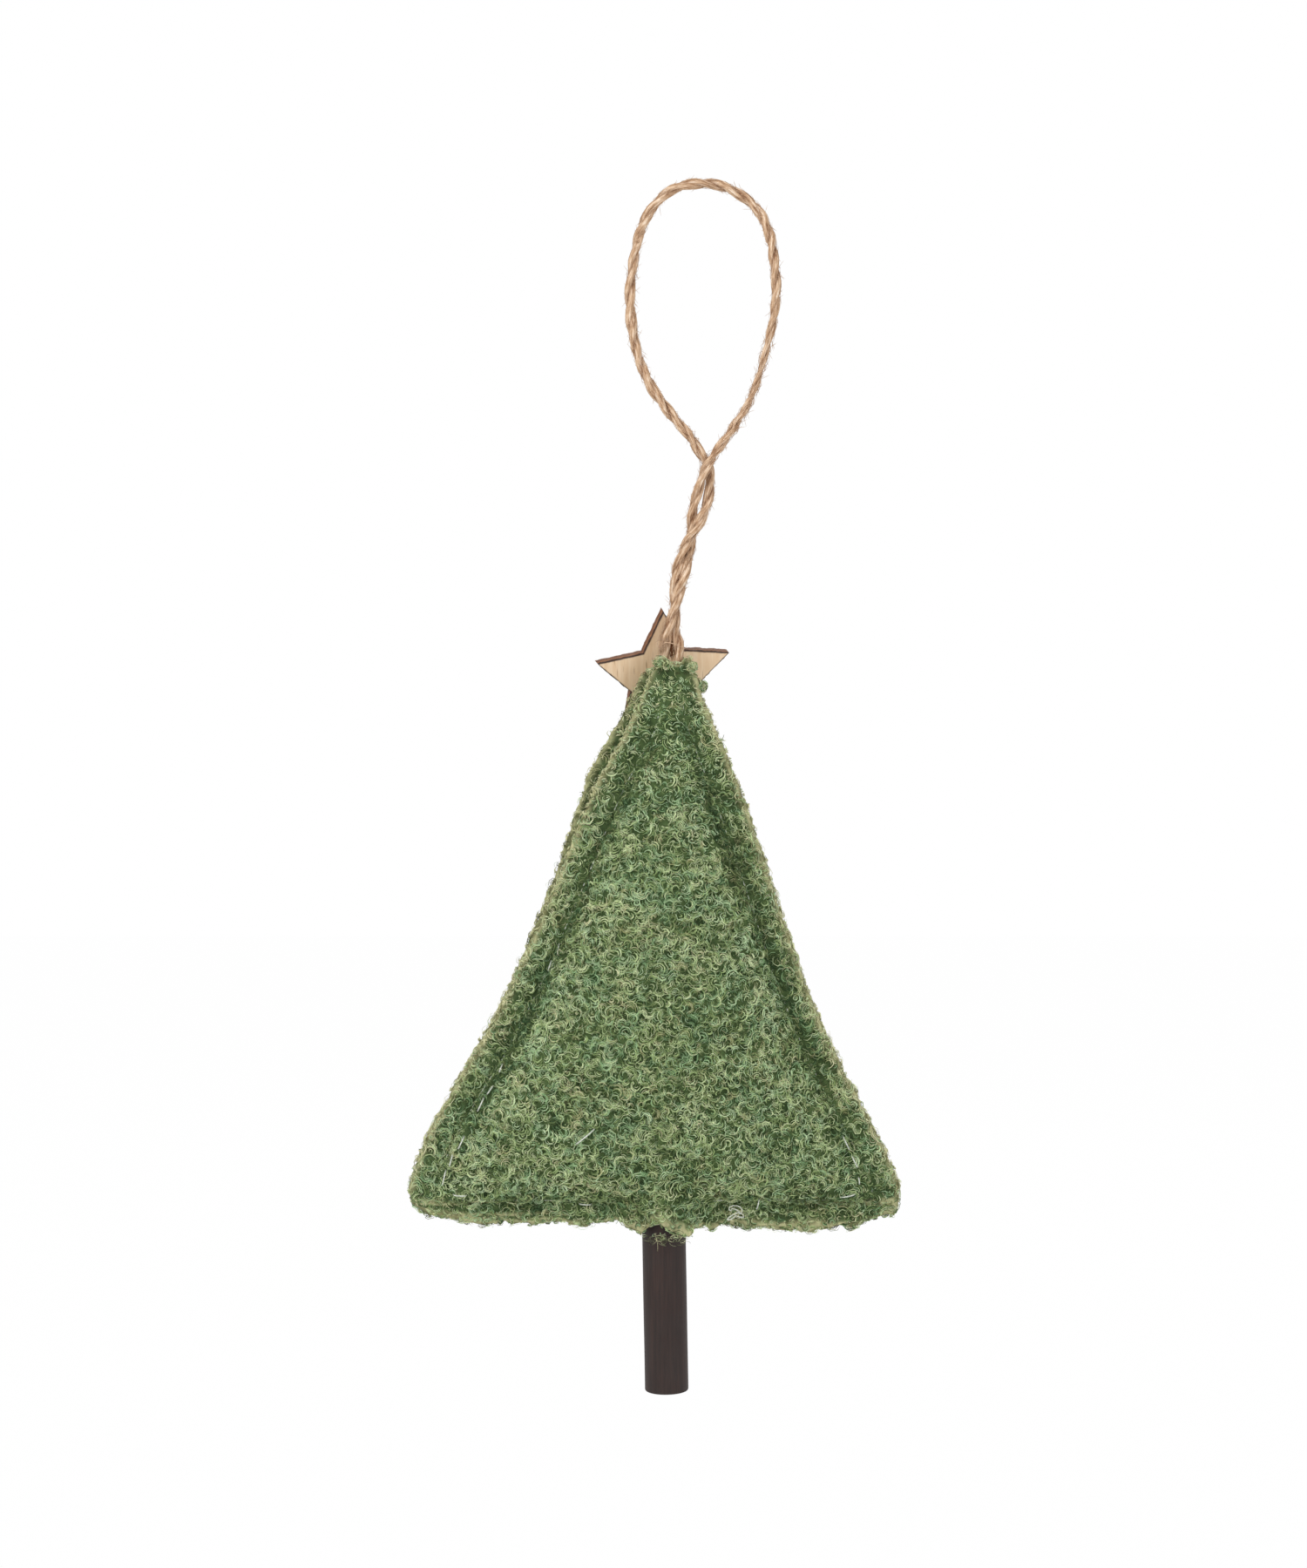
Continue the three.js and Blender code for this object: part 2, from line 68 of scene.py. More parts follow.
# %% Places in the frame
MM = 0.001
HANG_ACROSS = 12.4 * MM
HANG_HEIGHT = 236.9 * MM
HEM_TO_FRAME = (HANG_ACROSS, 0, HANG_HEIGHT)
PHOTO_WIDTH = 1500
PHOTO_HEIGHT = 1800
PIXELS_PER_MM = 5.0
HEM_PIXEL = 1400
MIDDLE_PIXEL = 751


def place(across, depth, height):
    """A place drawn in millimetres from the hem's middle, as a place in the frame."""
    return Vector((across * MM - HANG_ACROSS, depth * MM, height * MM - HANG_HEIGHT))


def pixel_place(pixel_x, pixel_y):
    """The place in the plane between the two cloths that a pixel of the photograph shows."""
    return place((pixel_x - MIDDLE_PIXEL) / PIXELS_PER_MM, 0, (HEM_PIXEL - pixel_y) / PIXELS_PER_MM)


# %% [markdown]
# ## Camera
# The dowel's sawn end shows as a shallow arc, so the camera looks down on it by about 14 degrees
# although it is level with the middle of the picture. That sets its distance.

# %% Camera
CAMERA_DISTANCE = 0.557
SENSOR = 36.0
view_middle = pixel_place(PHOTO_WIDTH / 2, PHOTO_HEIGHT / 2)
half_view = PHOTO_HEIGHT / 2 / PIXELS_PER_MM * MM
camera_place = view_middle + Vector((0, -CAMERA_DISTANCE, 0))
camera_data = bpy.data.cameras.new("camera")
camera_data.sensor_width = SENSOR
camera_data.lens = SENSOR / 2 * CAMERA_DISTANCE / half_view
camera_data.clip_start = 0.01
camera_data.clip_end = 20
camera = bpy.data.objects.new("camera", camera_data)
camera.location = camera_place
camera.rotation_euler = (math.pi / 2, 0, 0)
bpy.context.scene.collection.objects.link(camera)
bpy.context.scene.camera = camera
bpy.context.scene.view_settings.view_transform = "Standard"
print("camera at", [round(c, 4) for c in camera_place], "lens", round(camera_data.lens, 1))

# %% [markdown]
# ## Helpers for meshes
# Wool and twine are thousands of small strands. They are worked out as arrays and written into a
# mesh in one go, which takes a fraction of a second where single vertices would take minutes.
# The others are modelled with Blender's own tools. An operator works on all that is selected, so
# each of those steps first selects exactly what it needs. The cell after them holds functions for
# noise, directions, bell curves and tables, which are used all through the script.

# %% Helpers for meshes
def add_object(name, mesh):
    piece = bpy.data.objects.new(name, mesh)
    bpy.context.scene.collection.objects.link(piece)
    return piece


def select_only(piece):
    bpy.ops.object.select_all(action="DESELECT")
    piece.select_set(True)
    bpy.context.view_layer.objects.active = piece


def select_vertices(piece, test):
    """In edit mode's vertex selection, exactly the vertices for which test(vertex) is true."""
    bpy.context.tool_settings.mesh_select_mode = (True, False, False)
    for part in (*piece.data.polygons, *piece.data.edges):
        part.select = False
    for vertex in piece.data.vertices:
        vertex.select = test(vertex)


def select_edges(piece, test):
    """In edit mode's edge selection, exactly the edges for which test(begin, end) is true."""
    bpy.context.tool_settings.mesh_select_mode = (False, True, False)
    for part in (*piece.data.polygons, *piece.data.vertices):
        part.select = False
    for edge in piece.data.edges:
        begin, end = (piece.data.vertices[index].co for index in edge.vertices)
        edge.select = test(begin, end)


def add_modifier(piece, kind, name, **settings):
    modifier = piece.modifiers.new(name, kind)
    for key, value in settings.items():
        setattr(modifier, key, value)


def apply_modifiers(piece):
    select_only(piece)
    for modifier in list(piece.modifiers):
        bpy.ops.object.modifier_apply(modifier=modifier.name)


def select_all_in_edit_mode(piece):
    select_only(piece)
    bpy.ops.object.mode_set(mode="EDIT")
    bpy.ops.mesh.select_all(action="SELECT")


SURFACE_MAP = "OFBake"
RING_ON_MAP = 1 / 2.2
MAP_JUMP = 0.3


def write_mesh(name, points, quads, triangles, surface_map=None):
    """A mesh from arrays. surface_map gives each vertex its place on the map that is baked.
    The strip that closes a ring goes on past the ring's last place, not back across the map."""
    mesh = bpy.data.meshes.new(name)
    corners = np.concatenate([quads.ravel(), triangles.ravel()]).astype(np.int32)
    quad_starts = np.arange(len(quads)) * 4
    triangle_starts = len(quads) * 4 + np.arange(len(triangles)) * 3
    starts = np.concatenate([quad_starts, triangle_starts]).astype(np.int32)
    mesh.vertices.add(len(points))
    mesh.vertices.foreach_set("co", points.astype(np.float32).ravel())
    mesh.loops.add(len(corners))
    mesh.loops.foreach_set("vertex_index", corners)
    mesh.polygons.add(len(starts))
    mesh.polygons.foreach_set("loop_start", starts)
    mesh.update(calc_edges=True)
    if surface_map is not None:
        layer = mesh.uv_layers.new(name=SURFACE_MAP)
        on_map = surface_map[corners]
        closing = on_map[0:len(quads) * 4:4, 0] > on_map[1:len(quads) * 4:4, 0] + MAP_JUMP
        for corner in (1, 2):
            on_map[corner:len(quads) * 4:4, 0] += closing * RING_ON_MAP
        layer.uv.foreach_set("vector", on_map.astype(np.float32).ravel())
    mesh.shade_smooth()
    return mesh


def points_of(mesh):
    found = np.empty(len(mesh.vertices) * 3, np.float32)
    mesh.vertices.foreach_get("co", found)
    return found.reshape(-1, 3).astype(float)


def normals_of(mesh):
    found = np.empty(len(mesh.vertices) * 3, np.float32)
    mesh.vertex_normals.foreach_get("vector", found)
    return found.reshape(-1, 3).astype(float)


def move_points(piece, points):
    piece.data.vertices.foreach_set("co", points.astype(np.float32).ravel())
    piece.data.update()


def float_attribute(mesh, name, values):
    """Stores one number for each vertex, which a material can read by its name."""
    layer = mesh.attributes.new(name, "FLOAT", "POINT")
    layer.data.foreach_set("value", np.asarray(values, np.float32))


# %% Helpers for numbers
def noise_at(points, size, seed=0):
    """Smooth noise between about -0.5 and 0.5, with patches of the given size in millimetres."""
    shift = Vector((seed, -seed, 2 * seed))
    return np.array([noise.noise(Vector(point) / (size * MM) + shift) for point in points])


def unit(vectors):
    """The vectors along an array's last axis, each brought to length 1."""
    return vectors / np.linalg.norm(vectors, axis=-1, keepdims=True)


def spokes(side, other, angles):
    """Directions at some angles in the planes that pairs of cross directions span."""
    return side[..., None, :] * np.cos(angles)[:, None] + other[..., None, :] * np.sin(angles)[:, None]


def bell(distance, width):
    """A bell curve: 1 at no distance, and 0.37 at the width on either side."""
    return np.exp(-((distance / width) ** 2))


def by_table(values, rows):
    """Values looked up in a table of pairs, with straight lines between its rows."""
    return np.interp(values, *np.array(rows, float).T)


def smooth_curve(places, values):
    """A cubic through values at places, with each slope taken between the two neighbours."""
    places = np.asarray(places, float)
    values = np.asarray(values, float)
    steps = np.diff(places)
    rises = (np.diff(values, axis=0).T / steps).T
    inner = ((values[2:] - values[:-2]).T / (places[2:] - places[:-2])).T
    slopes = np.concatenate([rises[:1], inner, rises[-1:]])

    def at(where):
        index = np.clip(np.searchsorted(places, where) - 1, 0, len(steps) - 1)
        share = (where - places[index]) / steps[index]
        step = steps[index]
        if values.ndim > 1:
            share = share[:, None]
            step = step[:, None]
        low = values[index]
        high = values[index + 1]
        return (
            (1 + 2 * share) * (1 - share) ** 2 * low
            + share * (1 - share) ** 2 * step * slopes[index]
            + share**2 * (3 - 2 * share) * high
            + share**2 * (share - 1) * step * slopes[index + 1]
        )

    return at


# %% [markdown]
# ## The twine's route
# One length of jute twine comes out of the tip as two strands, which are twisted round each other
# up to the neck, and opens into the loop. The points repeat the frame's own route in millimetres.
# The neck gives the middle of the two strands, half their distance and how far they have turned.

# %% Twine route
LOOP_ROUTE = [
    (8, 180), (3.4, 185.4), (-0.2, 190.6), (-3.2, 196.6), (-4.8, 202.8), (-5.5, 210), (-5.3, 216),
    (-4.4, 222), (-2.9, 227.6), (-0.4, 232.3), (3.4, 236), (8.2, 237.7), (13.4, 237.7), (18.2, 236.2),
    (22.2, 233.4), (25.2, 229.2), (27, 223.8), (27.8, 217.6), (27.9, 211.6), (27.1, 205.6),
    (25.6, 199.6), (24, 193.8), (21.8, 188), (18.8, 182.8), (16.9, 180),
]
NECK_ROUTE = [
    (177.2, 12.4, 2.55, 0), (173.6, 12.2, 1.3, 90), (170, 12, 1.3, 130), (166.6, 11.1, 1.5, 160),
    (163.4, 10.4, 1.45, 185), (160.4, 9.6, 1.25, 215), (157, 8.5, 1.15, 270), (149.2, 6.1, 1.05, 360),
    (140.6, 4.7, 1.05, 450), (135.2, 4, 1.35, 490),
]
CUT_HEIGHT = 131
CUT_SPREAD = 1.6
TAIL_END = 115.2
TAIL_SPREAD = 1.5
NECK_POINTS = 10
TWINE_STEP = 0.33

neck_table = np.array(NECK_ROUTE[::-1], float)
neck_at = smooth_curve(neck_table[:, 0], neck_table[:, 1:])
neck_foot_across = NECK_ROUTE[-1][1]


def strand_route(side):
    """The strand from its tail in the cloth up to the loop. Side -1 starts right, +1 left."""
    heights = np.linspace(neck_table[0, 0], neck_table[-1, 0], NECK_POINTS)
    across, spread, turn = neck_at(heights).T
    turn = np.radians(turn)
    route = [
        (neck_foot_across - side * TAIL_SPREAD, 0, TAIL_END),
        (neck_foot_across - side * (TAIL_SPREAD + CUT_SPREAD) / 2, 0, (TAIL_END + CUT_HEIGHT) / 2),
        (neck_foot_across - side * CUT_SPREAD, 0, CUT_HEIGHT - 1),
        (neck_foot_across - side * CUT_SPREAD, 0, CUT_HEIGHT + 1),
    ]
    sideways = across + side * spread * np.cos(turn)
    inwards = -side * spread * np.sin(turn)
    return route + list(zip(sideways, inwards, heights))


left_strand = strand_route(-1)
right_strand = strand_route(1)
loop_route = [(across, 0, height) for across, height in LOOP_ROUTE]
twine_route = np.array(left_strand + loop_route + right_strand[::-1], float)
along_route = np.concatenate([[0], np.cumsum(np.linalg.norm(np.diff(twine_route, axis=0), axis=1))])
steps = int(along_route[-1] / TWINE_STEP)
twine_line = smooth_curve(along_route, twine_route)(np.linspace(0, along_route[-1], steps))
twine_length = float(np.linalg.norm(np.diff(twine_line, axis=0), axis=1).sum())
print("twine:", len(twine_route), "route points,", steps, "rings,", round(twine_length, 1), "mm long")

# %% [markdown]
# ## Two plies
# Jute twine is two plies laid together. Each ply runs in a helix round the twine's line, and the
# crease between them shows as a dark slanting mark about every 6 mm, its shade painted into the
# colour. The fibres of a ply are
# twisted the other way, so they lie nearly along the twine. A frame is carried along the line
# without turning, so that the helix is the only twist there is.

# %% Twine plies
PLY_PITCH = 11.8
PLY_RADIUS = 0.8
PLY_OFFSET = 0.4
PLY_SIDES = 22
FIBRE_RIDGES = 9
FIBRE_RIDGE_HEIGHT = 0.07
PLY_UNEVENNESS = 0.1
PLY_WANDER = 0.5
OFFSET_UNEVENNESS = 0.3
CREASE_START = 1.0
CREASE_DEPTH = 0.4
SLIM_LEVEL = 193
SLIM_REACH = 16
SLIM_SHARE = 0.38


def carried_frames(line):
    """For each point of a line: its direction and two cross directions that never twist."""
    ahead = unit(np.gradient(line, axis=0))
    side = np.cross(ahead[0], (0, 1, 0))
    sides = []
    for direction in ahead:
        side = unit(side - direction * np.dot(side, direction))
        sides.append(side)
    sides = np.array(sides)
    return ahead, sides, np.cross(ahead, sides)


twine_ahead, twine_side, twine_other = carried_frames(twine_line)
twine_along = np.linspace(0, twine_length, len(twine_line))


def wavy(places, length, seed):
    """A smooth random value between about -1 and 1 for places along a line."""
    return np.array([noise.noise(Vector((at / length, seed, 0.5))) for at in places]) * 2


def slimness(index):
    """The twine's girth by index: it is slimmer in the lower part of the loop's right side."""
    from_middle = (twine_line[index, 2] - SLIM_LEVEL) / SLIM_REACH
    return 1 - SLIM_SHARE * np.exp(-from_middle**2) * (index > len(twine_line) // 2)


def out_of_twine(index, angle):
    """Directions out of the twine's line, at an angle round it."""
    return twine_side[index] * np.cos(angle)[:, None] + twine_other[index] * np.sin(angle)[:, None]


def ply_rings(first, last, ply):
    """Ring points of one ply between two indices of the twine line, in millimetres."""
    index = np.arange(first, last)
    along = twine_along[index]
    angle = 2 * math.pi * along / PLY_PITCH + math.pi * ply + PLY_WANDER * wavy(along, 14, 3.7)
    girth = slimness(index)
    offset = PLY_OFFSET * girth * (1 + OFFSET_UNEVENNESS * wavy(along, 9, 7.1 + ply))
    middle = twine_line[index] + out_of_twine(index, angle) * offset[:, None]
    around = np.linspace(0, 2 * math.pi, PLY_SIDES, endpoint=False)
    radius = PLY_RADIUS * (girth * (1 + PLY_UNEVENNESS * wavy(along, 5, 11.3 + 4 * ply)))[:, None]
    ridge_turn = 0.8 * wavy(along, 6, 23.9 + ply)[:, None]
    ridges = FIBRE_RIDGE_HEIGHT * np.cos(FIBRE_RIDGES * around[None, :] + 3 * ridge_turn)
    fine = FIBRE_RIDGE_HEIGHT * 0.7 * np.cos(2 * FIBRE_RIDGES * around[None, :] - 5 * ridge_turn + 1.3)
    reach = radius + ridges + fine
    return middle[:, None, :] + spokes(twine_side[index], twine_other[index], around) * reach[:, :, None]


def tube_faces(rings, sides, start=0):
    """Quads between rings and the two caps, as fans of triangles round an added middle vertex."""
    ring = np.arange(rings - 1)[:, None] * sides
    side = np.arange(sides)[None, :]
    after = (side + 1) % sides
    quads = np.stack([ring + side, ring + after, ring + sides + after, ring + sides + side], axis=-1)
    low_middle = rings * sides
    high_middle = low_middle + 1
    last = (rings - 1) * sides
    side = side.ravel()
    after = after.ravel()
    low = np.stack([np.full(sides, low_middle), after, side], axis=-1)
    high = np.stack([np.full(sides, high_middle), last + side, last + after], axis=-1)
    return quads.reshape(-1, 4) + start, np.concatenate([low, high]) + start


def crease_shade_shares(rings, first):
    """How deep each ring point lies in the crease between the plies, from 0 to 1, which sets the painted
    shade there.
    """
    index = np.arange(first, first + len(rings))
    reach = np.linalg.norm(rings - twine_line[index, None, :], axis=2) / slimness(index)[:, None]
    strength = np.clip(0.7 + 0.5 * wavy(twine_along[index], 7, 31.7), 0.25, 1)
    return (np.clip((CREASE_START - reach) / CREASE_DEPTH, 0, 1) * strength[:, None]).ravel()


def ply_mesh_parts(first, last, ply, start):
    rings = ply_rings(first, last, ply)
    count = len(rings)
    points = rings.reshape(-1, 3)
    caps = np.array([rings[0].mean(axis=0), rings[-1].mean(axis=0)])
    quads, triangles = tube_faces(count, PLY_SIDES, start)
    around = np.tile(np.arange(PLY_SIDES) / PLY_SIDES, count)
    along = np.repeat(twine_along[first:last] / twine_length, PLY_SIDES)
    surface_map = np.stack([(around + 1.1 * ply) * RING_ON_MAP, along], axis=-1)
    surface_map = np.concatenate([surface_map, surface_map[[0, -1]]])
    crease = np.concatenate([crease_shade_shares(rings, first), (1, 1)])
    return np.concatenate([points, caps]), quads, triangles, surface_map, crease


# %% [markdown]
# ## Loose hairs
# Cut jute fibres stand off the twine and soften its outline. Each hair is a fine three-sided
# spindle, bent a little, with its root in a ply. The wool's curls further down use the same
# spindle: places along a path, of which the first and last are its two points.

# %% Spindles
SPINDLE_SIDES = 3
MAP_SIDE_STEP = 0.012
MAP_END = 0.02


def spindle_faces(rings):
    """Quads and triangles of one spindle. Its points are the first and the last vertex."""
    quads = []
    triangles = []
    last = SPINDLE_SIDES * rings + 1
    for side in range(SPINDLE_SIDES):
        after = (side + 1) % SPINDLE_SIDES
        triangles.append((0, 1 + after, 1 + side))
        for ring in range(rings - 1):
            low = 1 + ring * SPINDLE_SIDES
            high = low + SPINDLE_SIDES
            quads.append((low + side, low + after, high + after, high + side))
        top = 1 + (rings - 1) * SPINDLE_SIDES
        triangles.append((last, top + side, top + after))
    return np.array(quads), np.array(triangles)


def spindles(paths, radii, shades):
    """Spindles along paths, an array of (count, places, 3). Returns the arrays of a mesh.
    The map's u is the strand's shade, and its v runs from 0 at the ends to 1 in the middle."""
    count, places = paths.shape[:2]
    rings = places - 2
    ahead = np.gradient(paths, axis=1)
    ahead /= np.linalg.norm(ahead, axis=2)[..., None] + 1e-12
    aside = np.cross(ahead, np.array((0.31, 0.78, 0.54)))
    aside /= np.linalg.norm(aside, axis=2)[..., None] + 1e-12
    third = np.cross(ahead, aside)
    turns = 2 * math.pi * np.arange(SPINDLE_SIDES) / SPINDLE_SIDES
    middle = np.sin(math.pi * np.linspace(0, 1, places)[1:-1])
    girth = (0.5 + 0.5 * middle)[None, :, None, None] * radii[:, None, None, None]
    around = paths[:, 1:-1, None, :] + spokes(aside[:, 1:-1], third[:, 1:-1], turns) * girth
    points = np.concatenate([paths[:, :1], around.reshape(count, -1, 3), paths[:, -1:]], axis=1)
    heights = np.array((0, *np.repeat(middle, SPINDLE_SIDES), 0))
    sides = np.array((1, *np.tile(np.arange(SPINDLE_SIDES), rings), 1)) - 1
    surface_map = np.empty((count, len(heights), 2))
    surface_map[:, :, 0] = shades[:, None] + sides[None, :] * MAP_SIDE_STEP
    surface_map[:, :, 1] = MAP_END + (1 - 2 * MAP_END) * heights[None, :]
    quads, triangles = spindle_faces(rings)
    shift = (np.arange(count) * len(heights))[:, None, None]
    return (
        points.reshape(-1, 3),
        (quads[None] + shift).reshape(-1, 4),
        (triangles[None] + shift).reshape(-1, 3),
        surface_map.reshape(-1, 2),
    )


# %% Twine hairs
HAIRS_PER_MM = 12
LYING_SHARE = 0.6
HAIR_RADIUS = 0.045
HAIR_SHADE = 0.955
HAIR_SHADE_SPREAD = 0.012
HAIR_LENGTH = (0.7, 2.6)
LYING_ROOT = 0.98
STANDING_ROOT = 0.64
LYING_RISE = (0.02, 0.14)
STANDING_RISE = (0.25, 0.75)
HAIR_LEAN = 0.8


def hair_paths(first, last, seed):
    random = np.random.default_rng(seed)
    count = int((twine_along[last - 1] - twine_along[first]) * HAIRS_PER_MM)
    index = random.integers(first, last, count)
    turn = random.uniform(0, 2 * math.pi, count)
    outward = out_of_twine(index, turn)
    around = np.cross(twine_ahead[index], outward)
    lying = random.random(count) < LYING_SHARE
    root = twine_line[index] + outward * np.where(lying, LYING_ROOT, STANDING_ROOT)[:, None]
    length = random.uniform(*HAIR_LENGTH, count) * np.where(lying, 1.3, 1)
    lean = random.normal(0, 1, count)
    bow = np.clip(random.normal(0, 0.35, count), -0.6, 0.6) * np.where(lying, 0.6, 1)
    shares = np.linspace(0, 1, 5)[None, :, None]
    rise = np.where(lying, random.uniform(*LYING_RISE, count), random.uniform(*STANDING_RISE, count))
    forward = np.sign(lean)[:, None, None] * twine_ahead[index][:, None, :]
    reach = outward[:, None, :] * rise[:, None, None] * shares + forward * HAIR_LEAN * shares
    curve = around[:, None, :] * bow[:, None, None] * shares**2
    return root[:, None, :] + (reach + curve) * length[:, None, None], random


def twine_piece(name, first, last, seed):
    """The two plies and the loose hairs between two indices of the twine line, as one mesh."""
    points, quads, triangles, surface_map, crease = [], [], [], [], []
    start = 0
    for ply in (0, 1):
        part = ply_mesh_parts(first, last, ply, start)
        for found, new in zip((points, quads, triangles, surface_map, crease), part):
            found.append(new)
        start += len(part[0])
    ply_face_count = len(quads[0]) + len(quads[1])
    paths, random = hair_paths(first, last, seed)
    shades = HAIR_SHADE + random.uniform(-HAIR_SHADE_SPREAD, HAIR_SHADE_SPREAD, len(paths))
    part = spindles(paths, np.full(len(paths), HAIR_RADIUS), shades)
    points.append(part[0])
    quads.append(part[1] + start)
    triangles.append(part[2] + start)
    surface_map.append(part[3])
    crease.append(np.zeros(len(part[0])))
    arrays = [np.concatenate(found) for found in (quads, triangles, surface_map)]
    mesh = write_mesh(name, np.concatenate(points) * MM - HEM_TO_FRAME, *arrays)
    float_attribute(mesh, "crease", np.concatenate(crease))
    print(name, "has", ply_face_count, "ply faces and", len(paths), "hairs")
    return add_object(name, mesh)


# %% [markdown]
# ## Twine in three pieces
# The ornament swings at the foot of the loop and turns where the twine enters the cloth. A piece
# can bend across one joint only, so the one length of twine is parted in the neck, where its two
# strands cross and nothing moves.

PART_HEIGHT = 157.0
SWING_BENDS = [(12.4, 0, 182.2), (12.4, 0, 172.2)]
TURN_BENDS = [(4.3, 0, 149), (4.3, 0, 131.5)]
middle_index = len(twine_line) // 2
heights = twine_line[:, 2]
part_left = int(np.argmin(np.abs(heights[:middle_index] - PART_HEIGHT)))
part_right = middle_index + int(np.argmin(np.abs(heights[middle_index:] - PART_HEIGHT)))
twine_parts = {
    "twine_end_a": (0, part_left + 1),
    "twine_loop": (part_left, part_right + 1),
    "twine_end_b": (part_right, len(twine_line)),
}
twine_pieces = {}
for seed, (name, (first, last)) in enumerate(twine_parts.items()):
    piece = twine_piece(name, first, last, 40 + seed)
    path = [place(*point) for point in twine_line[first:last]]
    if name == "twine_end_b":
        path = path[::-1]
    length = sum((after - before).length for before, after in zip(path, path[1:]))
    if name == "twine_loop":
        start, end = (place(*point) for point in SWING_BENDS)
        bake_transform(piece)
        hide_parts("hanging_loop")
    else:
        letter = name[-1]
        start, end = (place(*point) for point in TURN_BENDS)
        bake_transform(piece)
        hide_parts("neck_strand_" + letter, "sewn_tail_" + letter)
    twine_pieces[name] = piece
    print(name, round(length / MM, 1), "mm")

# %% [markdown]
# ## Frayed foot
# Where the twine goes into the wool its strands fray to the left over the star, and one pale fibre lies
# across them. Dark fibres fill the hollow between them as a painted shadow. These fibres stay with the
# tree.

# %% Frayed foot
FRAY_FIBRES = 60
HOLLOW_FIBRES = 40
HOLLOW_SPREAD = (0.35, 0.3, 0.6)
FRAY_RADIUS = 0.07
ACROSS_RADIUS = 0.12
ACROSS_FIBRE = [
    (1.2, -1.6, 131.6), (2.6, -1.9, 132.4), (4, -2, 132.2), (5.4, -1.9, 131.7), (6.8, -1.2, 130.9),
]
random = np.random.default_rng(57)


def scattered(middles, spread, count):
    return middles + random.normal(0, spread, (count, 1, 3))


aside = random.random((FRAY_FIBRES, 1, 1))
fray_begin = scattered((2.0, -1.2, 137) + aside * (1.2, 0, -2), 0.25, FRAY_FIBRES)
fray_end = scattered((1.2, -0.9, 129.5) + aside * (1.6, 0, 0), 0.4, FRAY_FIBRES)
hollow_begin = scattered(np.array((3.8, 0.2, 133)), HOLLOW_SPREAD, HOLLOW_FIBRES)
hollow_end = scattered(np.array((3.7, 0.2, 129)), HOLLOW_SPREAD, HOLLOW_FIBRES)
begins = np.concatenate([fray_begin, hollow_begin])
ends = np.concatenate([fray_end, hollow_end])
bow = random.normal(0, 0.5, begins.shape) * (1, 0.3, 0.3)
shares = np.linspace(0, 1, len(ACROSS_FIBRE))[None, :, None]
fray = begins + (ends - begins) * shares + bow * np.sin(math.pi * shares)
fray = np.concatenate([fray, np.array(ACROSS_FIBRE)[None]])
fray_radii = np.full(len(fray), FRAY_RADIUS)
fray_radii[-1] = ACROSS_RADIUS
# Painted shade: the hollow's fibres take the crease's dark jute, standing in for the shadow between the
# strands.
hollow_painted_shade = np.zeros(len(fray))
hollow_painted_shade[FRAY_FIBRES:-1] = 1
part = spindles(fray, fray_radii, np.full(len(fray), HAIR_SHADE))
mesh = write_mesh("twine_fray", part[0] * MM - HEM_TO_FRAME, *part[1:])
float_attribute(mesh, "crease", np.repeat(hollow_painted_shade, len(part[0]) // len(fray)))
twine_fray = add_object("twine_fray", mesh)
print("fray:", len(fray), "fibres")

# %% [markdown]
# ## Cloth shape
# The two cloths take their form from the frame: crowned over the filling, drawn in along the seam
# and flat outside it. A copy is remeshed to even squares, so that it can carry fine relief. The
# squares are half as wide as the cloth is thick in its groove, or they would leave holes there. A
# Decimate modifier then takes out the faces that the flat parts don't need. The outer face is set
# back a little, because the wool's curls stand on it and bring it back out.

# %% Cloth copies
CLOTH_SQUARE = 0.55
CLOTH_SMOOTHING = 12
CLOTH_FACES_KEPT = 0.35
PILE_SETBACK = 0.75


def even_copy(node, name, square, smoothing, kept=1):
    """A copy of a CAD node as one closed skin of even squares, softened and perhaps thinned out."""
    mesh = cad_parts[node].data.copy()
    mesh.materials.clear()
    piece = add_object(name, mesh)
    piece.data.name = name
    select_all_in_edit_mode(piece)
    bpy.ops.mesh.remove_doubles(threshold=0.001 * MM)
    bpy.ops.object.mode_set(mode="OBJECT")
    add_modifier(piece, "REMESH", "even squares", mode="VOXEL", voxel_size=square * MM)
    add_modifier(piece, "SMOOTH", "soften", factor=0.5, iterations=smoothing)
    if kept < 1:
        add_modifier(piece, "DECIMATE", "fewer faces", ratio=kept)
    apply_modifiers(piece)
    piece.data.shade_smooth()
    return piece


def node_edges(node):
    """The left and right edge of a cloth by height, read from the frame's rows of vertices."""
    points = points_of(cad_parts[node].data)
    levels = np.round(points[:, 2], 5)
    rows = []
    for level in np.unique(levels):
        across = points[levels == level, 0]
        if np.ptp(across) > 6 * MM:
            rows.append((level, across.min(), across.max()))
    return np.array(rows)


edges_of = {side: node_edges(side + "_panel") for side in ("back", "front")}
cloths = {}
for side in edges_of:
    cloth = even_copy(side + "_panel", side + "_cloth", CLOTH_SQUARE, CLOTH_SMOOTHING, CLOTH_FACES_KEPT)
    cloths[side] = cloth
    mesh = cloth.data
    holes = 1 - (len(mesh.vertices) - len(mesh.edges) + len(mesh.polygons)) // 2
    print(side, "cloth has", len(mesh.polygons), "faces and", holes, "holes")

# %% [markdown]
# ## Where the seam and the edges are
# Several things follow the cloth's outline: the curls lie along the seam, the cut edge is pale and
# the stitches sit in the groove. These helpers give each point its distance from the outline and
# from the seam line. The seam keeps 6.4 mm from the slanting sides, less near the tip.

# %% Distances from the seam and the edges
SEAM_INSET = 6.4
HEM_SEAM = 5.0
TIP_SEAM = 4.0
TREE_HEIGHT = 129.4
OUTLINE_LEVELS = 260
STEEPEST_LEAN = 0.6
FAR = 50 * MM
INSET_TABLE = [(0, 1), (0.5, 1), (0.86, 1), (0.93, 0.72), (0.97, 0.45), (1, 0.4)]
inset_at = smooth_curve(*np.array(INSET_TABLE, float).T)
hem_level = place(0, 0, 0).z
tip_level = place(0, 0, TREE_HEIGHT).z


